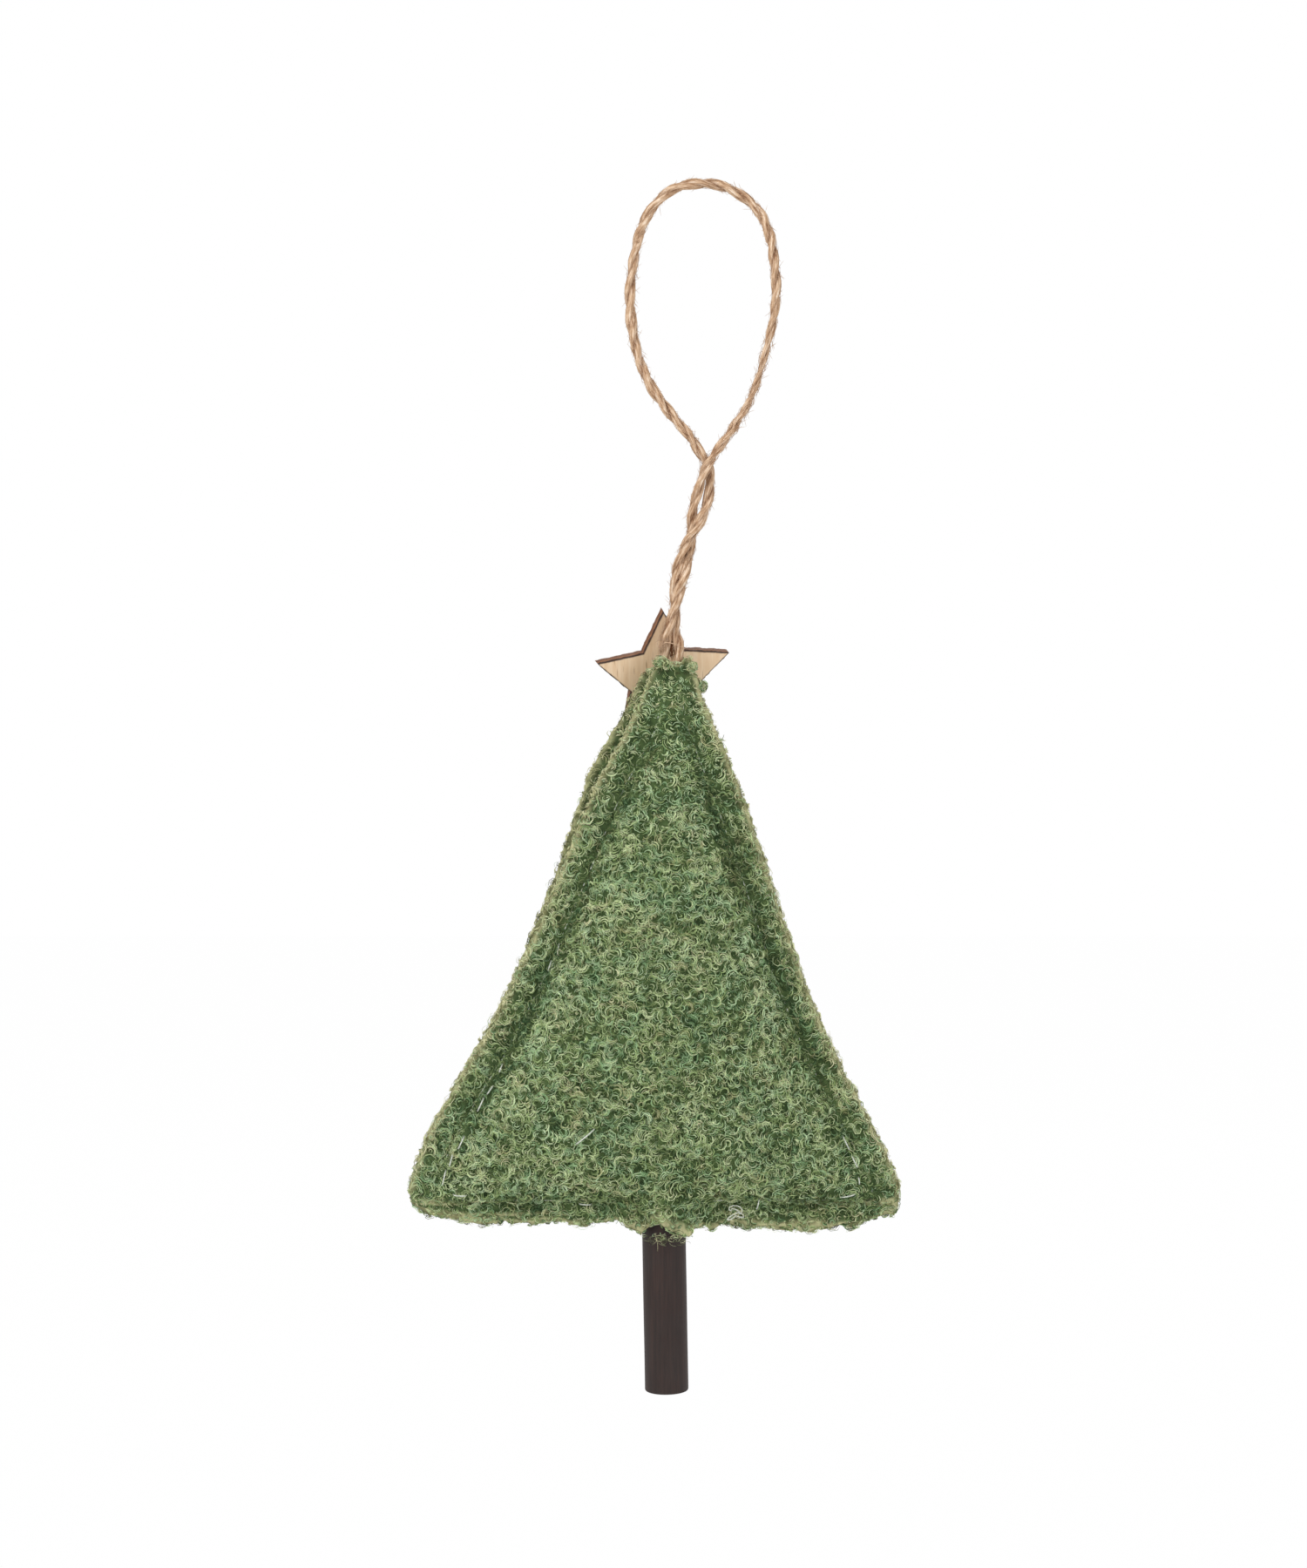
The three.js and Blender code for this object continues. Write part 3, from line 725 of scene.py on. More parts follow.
def side_lines(rows):
    """A cloth's outline and the seam, left and right, at even heights: arrays in metres. Both
    cloths share one seam, which follows the back cloth's outline."""
    levels = np.linspace(hem_level, tip_level, OUTLINE_LEVELS)
    share = np.clip((levels - hem_level) / (tip_level - hem_level), 0, 1)
    lines = {"level": levels}
    for name, column, hand in (("left", 1, -1), ("right", 2, 1)):
        own = np.interp(levels, edges_of["back"][:, 0], edges_of["back"][:, column])
        lean = np.clip(-hand * np.gradient(own, levels), 0, STEEPEST_LEAN)
        lines[name + "_edge"] = np.interp(levels, rows[:, 0], rows[:, column])
        lines[name + "_seam"] = own - hand * SEAM_INSET * MM * inset_at(share) * np.hypot(1, lean)
        lines[name + "_lean"] = lean
    return lines


panel_lines = {side: side_lines(rows) for side, rows in edges_of.items()}


def outline_distances(points, side):
    """For points on a cloth, in metres: distance in from the cut edge, distance from the seam
    line, which side edge is nearer, -1 or 1, and whether the point is on the stuffed body."""
    lines = panel_lines[side]
    across = points[:, 0]
    level = points[:, 2]

    def at(name):
        return np.interp(level, lines["level"], lines[name])

    left_slope = np.hypot(1, at("left_lean"))
    right_slope = np.hypot(1, at("right_lean"))
    from_left = (across - at("left_edge")) / left_slope
    from_right = (at("right_edge") - across) / right_slope
    from_hem = level - hem_level
    from_tip = tip_level - level
    edge = np.minimum.reduce([from_left, from_right, from_hem, from_tip])
    inside = (from_hem > (HEM_SEAM - 1) * MM) & (from_tip > (TIP_SEAM - 1) * MM)
    between = (across > at("left_seam") - 1 * MM) & (across < at("right_seam") + 1 * MM)
    seam = np.minimum.reduce([
        np.where(inside, np.abs(across - at("left_seam")) / left_slope, FAR),
        np.where(inside, np.abs(across - at("right_seam")) / right_slope, FAR),
        np.where(between, np.abs(from_hem - HEM_SEAM * MM), FAR),
        np.where(between, np.abs(from_tip - TIP_SEAM * MM), FAR),
    ])
    nearer = np.where(from_left < from_right, -1, 1)
    body = (across > at("left_seam")) & (across < at("right_seam"))
    body &= (from_hem > HEM_SEAM * MM) & (from_tip > TIP_SEAM * MM)
    return edge, seam, nearer, body


def across_of(points):
    """How far right of the drawing's middle each point is, in millimetres."""
    return (points[:, 0] + HANG_ACROSS) / MM


def level_of(points):
    """How far above the hem each point is, in millimetres."""
    return (points[:, 2] - hem_level) / MM


def inside_side_seam(points):
    """How far each point lies inwards of the nearer side seam, in millimetres, and which side."""
    lines = panel_lines["back"]
    level = points[:, 2]
    depths = []
    for name, side in (("left", -1), ("right", 1)):
        seam = np.interp(level, lines["level"], lines[name + "_seam"])
        slope = np.hypot(1, np.interp(level, lines["level"], lines[name + "_lean"]))
        depths.append(-side * (points[:, 0] - seam) / slope / MM)
    return np.minimum(*depths), depths[0] < depths[1]


# %% [markdown]
# ## Painted shade along the grooves
# The wool's colour is darkened in the grooves and beside them as painted shade, more so on the upper
# sides, and the photograph's dark line runs a little further in than the seam in some places. The
# crest inwards of it is lightened as painted light. The table gives the strength and the shift in
# millimetres of that line at several heights, for the left groove and the right one.

# %% Painted groove shade
# Painted shade: heights, then strength and shift of the darkening for the left groove and for the right
# one.
PAINTED_GROOVE_SHADE = [
    (0, 0.02, 1.5, 0.1, 1.4), (10, 0.12, 1.5, 0.2, 1.4), (22, 0.22, 1.5, 0.36, 1.2),
    (40, 0.62, 1.2, 0.5, -0.3), (60, 0.72, 0.5, 0.54, -0.2), (80, 0.6, 0.6, 0.56, 1.3),
    (100, 0.54, 0.8, 0.44, 1.6), (115, 0.15, 1.6, 0.2, 0.6), (130, 0.1, 1.0, 0.1, 0.6),
]
PAINTED_SHADE_INWARDS = 1.35
PAINTED_SHADE_OUTWARDS = [(85, 2.0), (100, 1.5)]
# Painted light: the crest just inwards of a groove is lightened.
CREST_DEPTH = 4.5
CREST_WIDTH = 3.5
CREST_PAINTED_LIGHT = 0.1
CREST_FROM = 0.4
painted_groove_rows = np.array(PAINTED_GROOVE_SHADE, float)
painted_groove_at = smooth_curve(painted_groove_rows[:, 0], painted_groove_rows[:, 1:])


def groove_table(points):
    """Strength and shift of the painted dark line at each point, and how far inwards of it the point is."""
    inwards, on_left = inside_side_seam(points)
    table = painted_groove_at(np.clip(level_of(points), 0, PAINTED_GROOVE_SHADE[-1][0]))
    strength = np.where(on_left, table[:, 0], table[:, 2])
    shift = np.where(on_left, table[:, 1], table[:, 3])
    return strength, shift, inwards - shift


def painted_groove_shade(points):
    """The painted shade on the wool at each point, as a darkening: below 0 on the crest inwards of the
    groove, where painted light lifts it.
    """
    strength, shift, inwards = groove_table(points)
    outwards = by_table(level_of(points), PAINTED_SHADE_OUTWARDS)
    width = np.where(inwards > 0, PAINTED_SHADE_INWARDS, outwards)
    crest_painted_light = bell(inwards - CREST_DEPTH, CREST_WIDTH) * np.clip(strength / CREST_FROM, 0, 1)
    return strength * bell(inwards, width) - CREST_PAINTED_LIGHT * crest_painted_light


# %% [markdown]
# ## Relief of the cloth
# The outer face is set back and pushed into lumps the size of a curl, so that the wool has relief
# of its own under the strands. The inner face stays where the frame has it, and the groove, where
# the cloth is thin, is hardly set back. The hand-cut edges waver a little, the hem more. Blender's
# noise starts from the clock unless it is given a seed, so the waver gets one.

# %% Cloth relief
LUMP_SIZE = 1.7
LUMP_HEIGHT = 0.45
LUMP_MIDDLE = 0.45
GROOVE_KEEP = 0.75
GROOVE_WIDTH = 1.9
GROOVE_FILL = 0.3
FACE_SOFTNESS = 0.35
RIM_SLOPE = 0.5
HEM_FILL = 0.8
HEM_SHIFT = [
    (-58, 0.6), (-51, 0.6), (-47, 0), (-43, -0.5), (-39, 0.2), (-25, 0), (-21, -0.3), (-15, -0.9),
    (-11, -0.4), (-7, -0.2), (-3, -0.6), (0, 2.2), (3, 1.7), (5.5, 0), (7.5, -1.5), (9, 0),
    (13, -1.5), (17, 0), (21, -0.7), (25, 0.1), (29, -0.7), (33, -0.2), (37, -0.4), (41, -1),
    (45, -1.3), (49, 0.2), (53, 0.2), (58, 0),
]
SHOULDER_PULL = [(108, 0), (113, 0.6), (118, 0.9), (121, 0.6), (125, 0)]
TIP_DIP = 2.0
TIP_PEAKS = [(1.8, 1.9), (8.0, 1.4)]
CUT_BAND = 1.2
HEM_CUT_BAND = 0.6
EDGE_SEED = 3
RAGGED_SIZE = 3.2
RAGGED_BAND = 2.5
SIDE_RAGGED = 0.3
HEM_RAGGED = 0.8
HEM_HEIGHT = 6
outward_of = {"back": -1, "front": 1}
other_side = {"back": "front", "front": "back"}


def set_back(side, cloth):
    points = points_of(cloth.data)
    normals = normals_of(cloth.data)
    facing = normals[:, 1] * outward_of[side]
    outer = np.clip((facing + FACE_SOFTNESS) / (2 * FACE_SOFTNESS), 0, 1)
    rim = 1 - np.clip(np.abs(facing) / RIM_SLOPE, 0, 1)
    weight = np.clip(outer + rim, 0, 1)
    lumps = np.array([noise.voronoi(Vector(point) / (LUMP_SIZE * MM))[0][0] for point in points])
    edge, seam, nearer, body = outline_distances(points, side)
    in_groove = bell(seam, GROOVE_WIDTH * MM)
    depth = (PILE_SETBACK + LUMP_HEIGHT * (lumps - LUMP_MIDDLE)) * (1 - GROOVE_KEEP * in_groove)
    up_side = np.clip((points[:, 2] - hem_level) / (HEM_HEIGHT * MM), 0, 1)
    shift = np.clip(groove_table(points)[1], 0, None)
    depth -= in_groove * np.where(up_side < 1, HEM_FILL, GROOVE_FILL * shift)
    depth *= MM
    moved = points - normals * (weight * depth)[:, None]
    ragged = np.array([noise.noise_vector(Vector(point) / (RAGGED_SIZE * MM)) for point in points])
    reach = (HEM_RAGGED + (SIDE_RAGGED - HEM_RAGGED) * up_side) * MM
    near_cut = np.clip(1 - edge / (RAGGED_BAND * MM), 0, 1) * reach
    moved += ragged * (2, 0, 2) * near_cut[:, None]
    moved[:, 2] += by_table(across_of(points), HEM_SHIFT) * MM * (1 - up_side)
    if side == "front":
        pull = by_table(level_of(points), SHOULDER_PULL) * MM
        moved[:, 0] += pull * (nearer < 0) * np.clip(1.5 - edge / (3 * MM), 0, 1)
    peaks = sum(bell(across_of(points) - at, width) for at, width in TIP_PEAKS)
    near_tip = np.clip(1 - (tip_level - points[:, 2]) / (TIP_SEAM * MM), 0, 1)
    moved[:, 2] -= TIP_DIP * MM * np.clip(1 - peaks, 0, 1) * near_tip
    move_points(cloth, moved)
    cut_band = (HEM_CUT_BAND + (CUT_BAND - HEM_CUT_BAND) * up_side) * MM
    float_attribute(cloth.data, "cut_edge", np.exp(-np.clip(edge / cut_band, 0, None) ** 2))


noise.seed_set(EDGE_SEED)
for side, cloth in cloths.items():
    set_back(side, cloth)

# %% [markdown]
# ## Curls of wool
# Looped wool is a tangle of short locks. A lock here is seven strands that follow one arc, rise
# from the cloth and dive back in. Its root is picked evenly over the cloth, and its direction
# follows a slow swirl, as wool does, so that neighbours lie nearly alike. Along the seam and the
# edges the locks are small and low, and towards the tip they are straighter. Each strand has one
# shade, which the map carries.

# %% Even places on a surface
def surface_samples(mesh, count, random):
    """Random places on a mesh's triangles, with smooth normals."""
    mesh.calc_loop_triangles()
    corners = np.empty(len(mesh.loop_triangles) * 3, np.int32)
    mesh.loop_triangles.foreach_get("vertices", corners)
    corners = corners.reshape(-1, 3)
    points = points_of(mesh)
    normals = normals_of(mesh)
    a, b, c = (points[corners[:, i]] for i in range(3))
    area = np.linalg.norm(np.cross(b - a, c - a), axis=1)
    picked = random.choice(len(area), count, p=area / area.sum())
    u, v = random.random((2, count, 1))
    u, v = np.where(u + v > 1, 1 - u, u), np.where(u + v > 1, 1 - v, v)
    weights = (1 - u - v, u, v)
    spots = sum(w * points[corners[picked, i]] for i, w in enumerate(weights))
    facing = sum(w * normals[corners[picked, i]] for i, w in enumerate(weights))
    return spots, unit(facing)


def thin_out(spots, spacing):
    """Indices of spots that keep about the spacing from each other, found on a grid of cells."""
    kept = {}
    chosen = []
    steps = [(dx - 1, dy - 1, dz - 1) for dx, dy, dz in np.ndindex(3, 3, 3)]
    for index, spot in enumerate(spots):
        x, y, z = np.floor(spot / spacing).astype(int).tolist()
        near = [other for dx, dy, dz in steps for other in kept.get((x + dx, y + dy, z + dz), ())]
        if all(np.dot(spots[other] - spot, spots[other] - spot) >= spacing**2 for other in near):
            kept.setdefault((x, y, z), []).append(index)
            chosen.append(index)
    return np.array(chosen)


# %% Paths of the locks
STRANDS_PER_LOCK = 7
LOCK_WIDTH = 1.2
LOCK_PLACES = 6
LOCK_RADIUS = (0.5, 1.25)
LOCK_SWEEP = (140, 310)
LOCK_ROOT_DEPTH = 0.12
STRAND_WOBBLE = 0.045
ASIDE_SPREAD = 0.2
BEGIN_SPREAD = 0.5
STRETCH_SPREAD = 0.12
LOCK_CROWN = 1.6
RISE_RANGE = (0.8, 1.2)
path_shares = np.linspace(0, 1, LOCK_PLACES)


def laid_on(normals, tangent, flat_x, flat_y, lift):
    """Curves drawn flat and lifted a little, laid on the surface: one group of them for each root.
    flat_x and flat_y are brought to the middle of their group."""
    count = len(normals)
    shape = (count,) + (1,) * (flat_x.ndim - 1) + (3,)
    within = tuple(range(1, flat_x.ndim))
    flat_x = flat_x - flat_x.mean(axis=within, keepdims=True)
    flat_y = flat_y - flat_y.mean(axis=within, keepdims=True)
    return (
        flat_x[..., None] * tangent.reshape(shape)
        + flat_y[..., None] * np.cross(normals, tangent).reshape(shape)
        + lift[..., None] * normals.reshape(shape)
    )


def lock_paths(roots, normals, heading, scale, height, curl, random):
    """Paths of all strands of all locks, shape (locks, strands, places, 3), in metres."""
    count = len(roots)
    radius = random.uniform(*LOCK_RADIUS, count) * scale
    sweep = np.radians(random.uniform(*LOCK_SWEEP, count)) * curl
    hand = random.choice((-1.0, 1.0), count)
    tangent = unit(np.cross(normals, heading))
    rank = np.linspace(-0.5, 0.5, STRANDS_PER_LOCK)
    aside = rank[None, :] * LOCK_WIDTH * scale[:, None]
    aside = aside + random.normal(0, ASIDE_SPREAD, (count, STRANDS_PER_LOCK))
    begin = random.normal(0, BEGIN_SPREAD, (count, STRANDS_PER_LOCK))
    stretch = random.normal(1, STRETCH_SPREAD, (count, STRANDS_PER_LOCK))
    angle = begin[..., None] + (sweep[:, None] * stretch)[..., None] * (path_shares - 0.5)
    reach = radius[:, None, None] + aside[..., None]
    flat_x = reach * np.sin(angle)
    flat_y = hand[:, None, None] * (radius[:, None, None] - reach * np.cos(angle))
    crown = 1 - LOCK_CROWN * rank**2
    rise = height[:, None] * crown[None, :] * random.uniform(*RISE_RANGE, (count, STRANDS_PER_LOCK))
    lift = rise[..., None] * np.sin(math.pi * np.clip(path_shares, 0.04, 0.96)) - LOCK_ROOT_DEPTH
    wobble = random.normal(0, STRAND_WOBBLE, (count, STRANDS_PER_LOCK, LOCK_PLACES, 3))
    return roots[:, None, None, :] + (laid_on(normals, tangent, flat_x, flat_y, lift) + wobble) * MM


# %% [markdown]
# ## Shade and hue of the wool
# Every strand has a place on one scale of colours: three families of hues from dark to light, and
# after them the pale shades of a cut edge. Its shade is its lock's own, varied a little, with painted
# shade in the grooves, in the hem's seam, in the crease across the tip and on the far cloth's inner
# face, and painted light on the crests beside them, along the rim and towards the left. The
# flanges get painted light and shade that differ by height and side.

# %% Shade and hue of the wool
NOISE_GAIN = 1.8
MIDDLE_SHADE = 0.565
SHADE_PATCH = 8
PATCH_SHADE = 0.13
LOCK_SHADE_SPREAD = 0.15
STRAND_SPREAD = 0.33
INNER_STRAND_SPREAD = 0.42
# Painted light: the wool grows lighter towards the left, the side of the key light.
PAINTED_LIGHT_TO_LEFT_PER_MM = 0.0012
# Painted light: a band along the rounded rim is lightened, as a highlight.
RIM_PAINTED_LIGHT = 0.14
# Painted light and shade on the flanges outside the seam: the left one darker low down and lighter high up,
# the right one darker.
LEFT_FLANGE_PAINTED_LIGHTING = [(26, -0.12), (62, 0.03)]
RIGHT_FLANGE_PAINTED_LIGHTING = -0.04
NEAR_HEM_SHADE = 0.04
# Painted shade: the far cloth's inner face where it peeks out, darkest just under the near cloth's edge.
INNER_FACE_PAINTED_SHADE = 0.3
UNDER_EDGE_PAINTED_SHADE = 0.3
UNDER_EDGE_BAND = 0.9
SHADE_LIMITS = (0.04, 0.9)
# Painted shade: a dark line along the hem's seam, where its groove would be in shadow.
HEM_SEAM_PAINTED_SHADE = 0.32
HEM_SHADE_LEVEL = 5.9
HEM_SHADE_WIDTH = 0.9
# Painted shade in the crease across the tip, and painted light on the crest just below it.
TIP_CREASE_PAINTED_SHADE = 1.35
CREASE_WIDTH = 0.75
CREASE_LEVEL = 3.9
CREASE_ACROSS = 2.9
CREASE_ARCH = 0.0088
TIP_CREST_PAINTED_LIGHT = 0.45
CREASE_CREST_DEPTH = 4.5
CREASE_CREST_WIDTH = 3.2
HUE_WIDTH = 0.28
PALE_FROM = 3 * HUE_WIDTH
HUE_PATCH = 9
HUE_LIMITS = (-0.35, 1.0)
INNER_HUE = 2.4
# The crease's duller hue is part of its painted shade.
CREASE_HUE = 2.2
LOCK_HUE_SPREAD = 0.55
STRAND_HUE_SPREAD = 0.35
EDGE_BAND = 1.7
PALE_ON_LEFT = 0.95
PALE_ON_RIGHT = 0.9
PALE_INSIDE = 0.25


def below_crease(points):
    """How far each point lies below the crease that crosses the tip in an arch, in millimetres."""
    arch = CREASE_ARCH * np.abs(across_of(points) - CREASE_ACROSS) ** 3
    return (tip_level - points[:, 2]) / MM - CREASE_LEVEL - arch


def painted_place_shade(points):
    """The painted shade on the wool for lying in a groove, in the hem's seam or in the tip's crease, less
    the painted light on the crests beside them, and how far each point is in the tip's crease, from 0 to 1."""
    crease = below_crease(points)
    in_crease = bell(crease, CREASE_WIDTH)
    shade = painted_groove_shade(points) + TIP_CREASE_PAINTED_SHADE * in_crease
    shade -= TIP_CREST_PAINTED_LIGHT * bell(crease - CREASE_CREST_DEPTH, CREASE_CREST_WIDTH)
    return shade + HEM_SEAM_PAINTED_SHADE * bell(level_of(points) - HEM_SHADE_LEVEL, HEM_SHADE_WIDTH), in_crease


def hem_share(points):
    """How near the hem each point is: 1 along it, and 0 some way above it."""
    return np.clip(1.6 - (points[:, 2] - hem_level) / (HEM_HEIGHT * MM), 0, 1)


def strand_shades(side, roots, normals, paths, random):
    """Each strand's place on the wool's colour scale: a family of hues and a shade in it, or one
    of the pale shades of a cut edge."""
    edge, seam, nearer, body = outline_distances(roots, side)
    near_hem = hem_share(roots)
    inner = normals[:, 1] * outward_of[side] < INNER_TO
    beside = outline_distances(roots, other_side[side])[0]
    # Painted highlight along the rim, above the hem.
    rim = RIM_PAINTED_LIGHT * bell(edge / MM - 2, 1.5) * (roots[:, 2] > hem_level + 8 * MM)
    # Painted shade on the inner face and under the other cloth's edge.
    painted_under_edge_shade = inner * (INNER_FACE_PAINTED_SHADE + UNDER_EDGE_PAINTED_SHADE * bell(beside, UNDER_EDGE_BAND * MM))
    patch = NOISE_GAIN * noise_at(roots, SHADE_PATCH, 5.1)
    own = random.normal(0, LOCK_SHADE_SPREAD, len(roots))
    lock_shade = MIDDLE_SHADE + PATCH_SHADE * patch + own + rim - painted_under_edge_shade
    # Painted light and shade on the flanges.
    flange_painted_lighting = np.where(nearer < 0, by_table(level_of(roots), LEFT_FLANGE_PAINTED_LIGHTING), RIGHT_FLANGE_PAINTED_LIGHTING)
    lock_shade += np.where(body, 0, flange_painted_lighting) - NEAR_HEM_SHADE * near_hem
    # Painted light, stronger towards the left.
    lock_shade -= PAINTED_LIGHT_TO_LEFT_PER_MM * across_of(roots)

    strand_spread = np.where(inner, INNER_STRAND_SPREAD, STRAND_SPREAD)[:, None]
    varied = random.normal(0, 1, (len(roots), STRANDS_PER_LOCK)) * strand_spread
    # Each strand is darkened by the painted shade where it lies, and lightened by the painted light on the
    # crests.
    painted_shade, creased = painted_place_shade(paths.mean(axis=2).reshape(-1, 3))
    strand_shade = lock_shade[:, None] + varied - painted_shade.reshape(varied.shape)

    hue = NOISE_GAIN * noise_at(roots, HUE_PATCH, 8.8)[:, None] * 0.5
    hue = hue + random.normal(0, LOCK_HUE_SPREAD, (len(roots), 1))
    hue = hue + random.normal(0, STRAND_HUE_SPREAD, varied.shape)
    hue += INNER_HUE * inner[:, None] + CREASE_HUE * creased.reshape(varied.shape)
    family = np.digitize(hue, HUE_LIMITS)
    shades = (family + np.clip(strand_shade, *SHADE_LIMITS)) * HUE_WIDTH

    most_pale = np.where(nearer < 0, PALE_ON_LEFT, PALE_ON_RIGHT)
    pale_share = most_pale * bell(np.clip(edge, 0, None), EDGE_BAND * MM)
    pale_share *= np.where(inner, PALE_INSIDE, 1) * (1 - 0.9 * near_hem)
    pale = random.random(shades.shape) < pale_share[:, None]
    return np.where(pale, random.uniform(PALE_FROM + 0.02, 0.97, shades.shape), shades)


# %% [markdown]
# ## The wool in pieces
# The locks of each cloth are made in one go and written as five pieces from the hem to the tip, so
# that none of them is too heavy to handle.

# %% Make the wool
SURFACE_SAMPLES = 90000
LOCK_SPACING = 1.12
OUTER_FROM = 0.3
INNER_TO = -0.35
RIM_BAND = 2.2
PEEK_BAND = 0.2
LOCK_SCALE = (0.75, 1.15)
LOCK_HEIGHT = (0.45, 1.3)
STRAND_RADIUS = 0.08
SWIRL_SIZE = 7
SWIRL_TURN = 1.1
COMBED_FROM = 88
COMBED_OVER = 16
COMBED_SHARE = 0.5
SEAM_BAND_ON_BODY = 0.8
SEAM_BAND_ON_RIM = 1.5
LOW_EDGE_BAND = 1.2
SMALLER_IN_SEAM = 0.42
SMALLER_AT_EDGE = 0.35
LOWER_IN_SEAM = 0.65
LOWER_AT_EDGE = 0.4


def lock_roots(side, cloth, random):
    """Where the locks of one cloth stand: on its outer face, round its rim, and on the part of
    its inner face that peeks out beside the other cloth."""
    spots, facing = surface_samples(cloth.data, SURFACE_SAMPLES, random)
    outward = facing[:, 1] * outward_of[side]
    near_rim = outline_distances(spots, side)[0] < RIM_BAND * MM
    beside_other = outline_distances(spots, other_side[side])[0] < -PEEK_BAND * MM
    bearing = (outward > OUTER_FROM) | ((outward > INNER_TO) & near_rim)
    bearing |= (outward <= INNER_TO) & beside_other
    spots, facing = spots[bearing], facing[bearing]
    chosen = thin_out(spots, LOCK_SPACING * MM)
    return spots[chosen], facing[chosen]


def make_locks(side, cloth, seed):
    """All locks of one cloth: each lock's root, and its strands' paths, radii and shades."""
    random = np.random.default_rng(seed)
    roots, normals = lock_roots(side, cloth, random)
    edge, seam, nearer, body = outline_distances(roots, side)
    near_seam = bell(seam, np.where(body, SEAM_BAND_ON_BODY, SEAM_BAND_ON_RIM) * MM)
    near_edge = bell(np.clip(edge, 0, None), LOW_EDGE_BAND * MM)
    turn = NOISE_GAIN * noise_at(roots, SWIRL_SIZE, 1.3) * SWIRL_TURN
    swirl = math.pi / 2 + turn + random.normal(0, 0.5, len(roots))
    heading = np.stack([np.cos(swirl), np.zeros(len(roots)), np.sin(swirl)], axis=-1)
    in_crease = bell(below_crease(roots), CREASE_WIDTH)
    pulled_in = np.maximum(near_seam * (1 - 0.9 * hem_share(roots)), in_crease)
    scale = random.uniform(*LOCK_SCALE, len(roots)) * (1 - SMALLER_IN_SEAM * pulled_in)
    scale *= 1 - SMALLER_AT_EDGE * near_edge
    height = random.uniform(*LOCK_HEIGHT, len(roots)) * (1 - LOWER_IN_SEAM * pulled_in)
    height *= 1 - LOWER_AT_EDGE * near_edge
    near_tip = np.clip(level_of(roots) - COMBED_FROM, 0, COMBED_OVER) / COMBED_OVER
    paths = lock_paths(roots, normals, heading, scale, height, 1 - COMBED_SHARE * near_tip, random)
    shades = strand_shades(side, roots, normals, paths, random)
    radii = STRAND_RADIUS * random.uniform(0.75, 1.2, shades.shape) * (1 - 0.2 * near_seam)[:, None]
    print(side, "cloth carries", len(roots), "locks,", shades.size, "strands")
    return roots, paths, radii * MM, shades


def pile_piece(name, paths, radii, shades):
    flat = paths.reshape(-1, paths.shape[-2], 3)
    mesh = write_mesh(name, *spindles(flat, radii.ravel(), shades.ravel()))
    return add_object(name, mesh)


PILE_BANDS = 5
pile = []
for seed, (side, cloth) in enumerate(cloths.items()):
    roots, paths, radii, shades = make_locks(side, cloth, 100 + seed)
    order = np.argsort(roots[:, 2])
    for band, chosen in enumerate(np.array_split(order, PILE_BANDS)):
        piece = pile_piece(f"{side}_wool_{band + 1}", paths[chosen], radii[chosen], shades[chosen])
        pile.append(piece)
        triangles = sum(len(face.vertices) - 2 for face in piece.data.polygons)
        print(piece.name, triangles, "triangles")

# %% [markdown]
# ## Star
# The star was cut from thin plywood by a laser, which left flat faces and a charred brown wall.
# It starts as a circle of ten corners, of which every second one is drawn in. Solidify gives the
# plate its thickness and a fine bevel its slightly burnt-off corners. The wall is then roughened a
# little, and two attributes tell the material how near the cut is and which layer it shows.

# %% Star plate
STAR_RADIUS = 16.7
STAR_NOTCH = 8.3
STAR_THICKNESS = 2.7
STAR_ROLL = math.radians(5.9)
STAR_LEAN = math.radians(22)
STAR_YAW = math.radians(15)
CHAR_WIDTH = 0.45
CHAR_LUMP = 0.2
CHAR_LUMP_SIZE = 0.9
BURNT_CORNER = 0.12
WALL_BAND = 0.3
EDGE_CUTS = 22


def star_frame():
    """The plate's own axes as a matrix: x across its face, y up its face, z out of its near face."""
    tilt = Matrix.Rotation(STAR_YAW, 4, "Z") @ Matrix.Rotation(STAR_LEAN, 4, "X")
    upright = Matrix.Rotation(math.pi / 2, 4, "X")
    spin = Matrix.Rotation(STAR_ROLL, 4, "Z")
    corners = np.unique(np.round(points_of(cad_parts["star"].data), 7), axis=0)
    return Matrix.Translation(corners.mean(axis=0)) @ tilt @ upright @ spin


bpy.ops.object.select_all(action="DESELECT")
bpy.ops.mesh.primitive_circle_add(vertices=10, radius=STAR_RADIUS * MM, fill_type="NGON")
star = bpy.context.object
star.name = "plywood_star"
select_vertices(star, lambda vertex: vertex.index % 2 == 1)
bpy.ops.object.mode_set(mode="EDIT")
notch_share = STAR_NOTCH / STAR_RADIUS
bpy.ops.transform.resize(value=(notch_share, notch_share, 1), center_override=(0, 0, 0))
bpy.ops.mesh.select_all(action="SELECT")
bpy.ops.mesh.inset(thickness=CHAR_WIDTH * MM * 0.5)
bpy.ops.mesh.inset(thickness=CHAR_WIDTH * MM)
bpy.ops.object.mode_set(mode="OBJECT")
select_edges(star, lambda begin, end: (begin - end).length > STAR_NOTCH * MM * 0.5)
bpy.ops.object.mode_set(mode="EDIT")
bpy.ops.mesh.subdivide(number_cuts=EDGE_CUTS, quadcorner="STRAIGHT_CUT")
bpy.ops.object.mode_set(mode="OBJECT")
add_modifier(star, "SOLIDIFY", "plywood", thickness=STAR_THICKNESS * MM, offset=0)
add_modifier(star, "BEVEL", "burnt corners", width=BURNT_CORNER * MM, segments=2, limit_method="ANGLE")
apply_modifiers(star)
select_all_in_edit_mode(star)
bpy.ops.mesh.normals_make_consistent(inside=False)
bpy.ops.object.mode_set(mode="OBJECT")


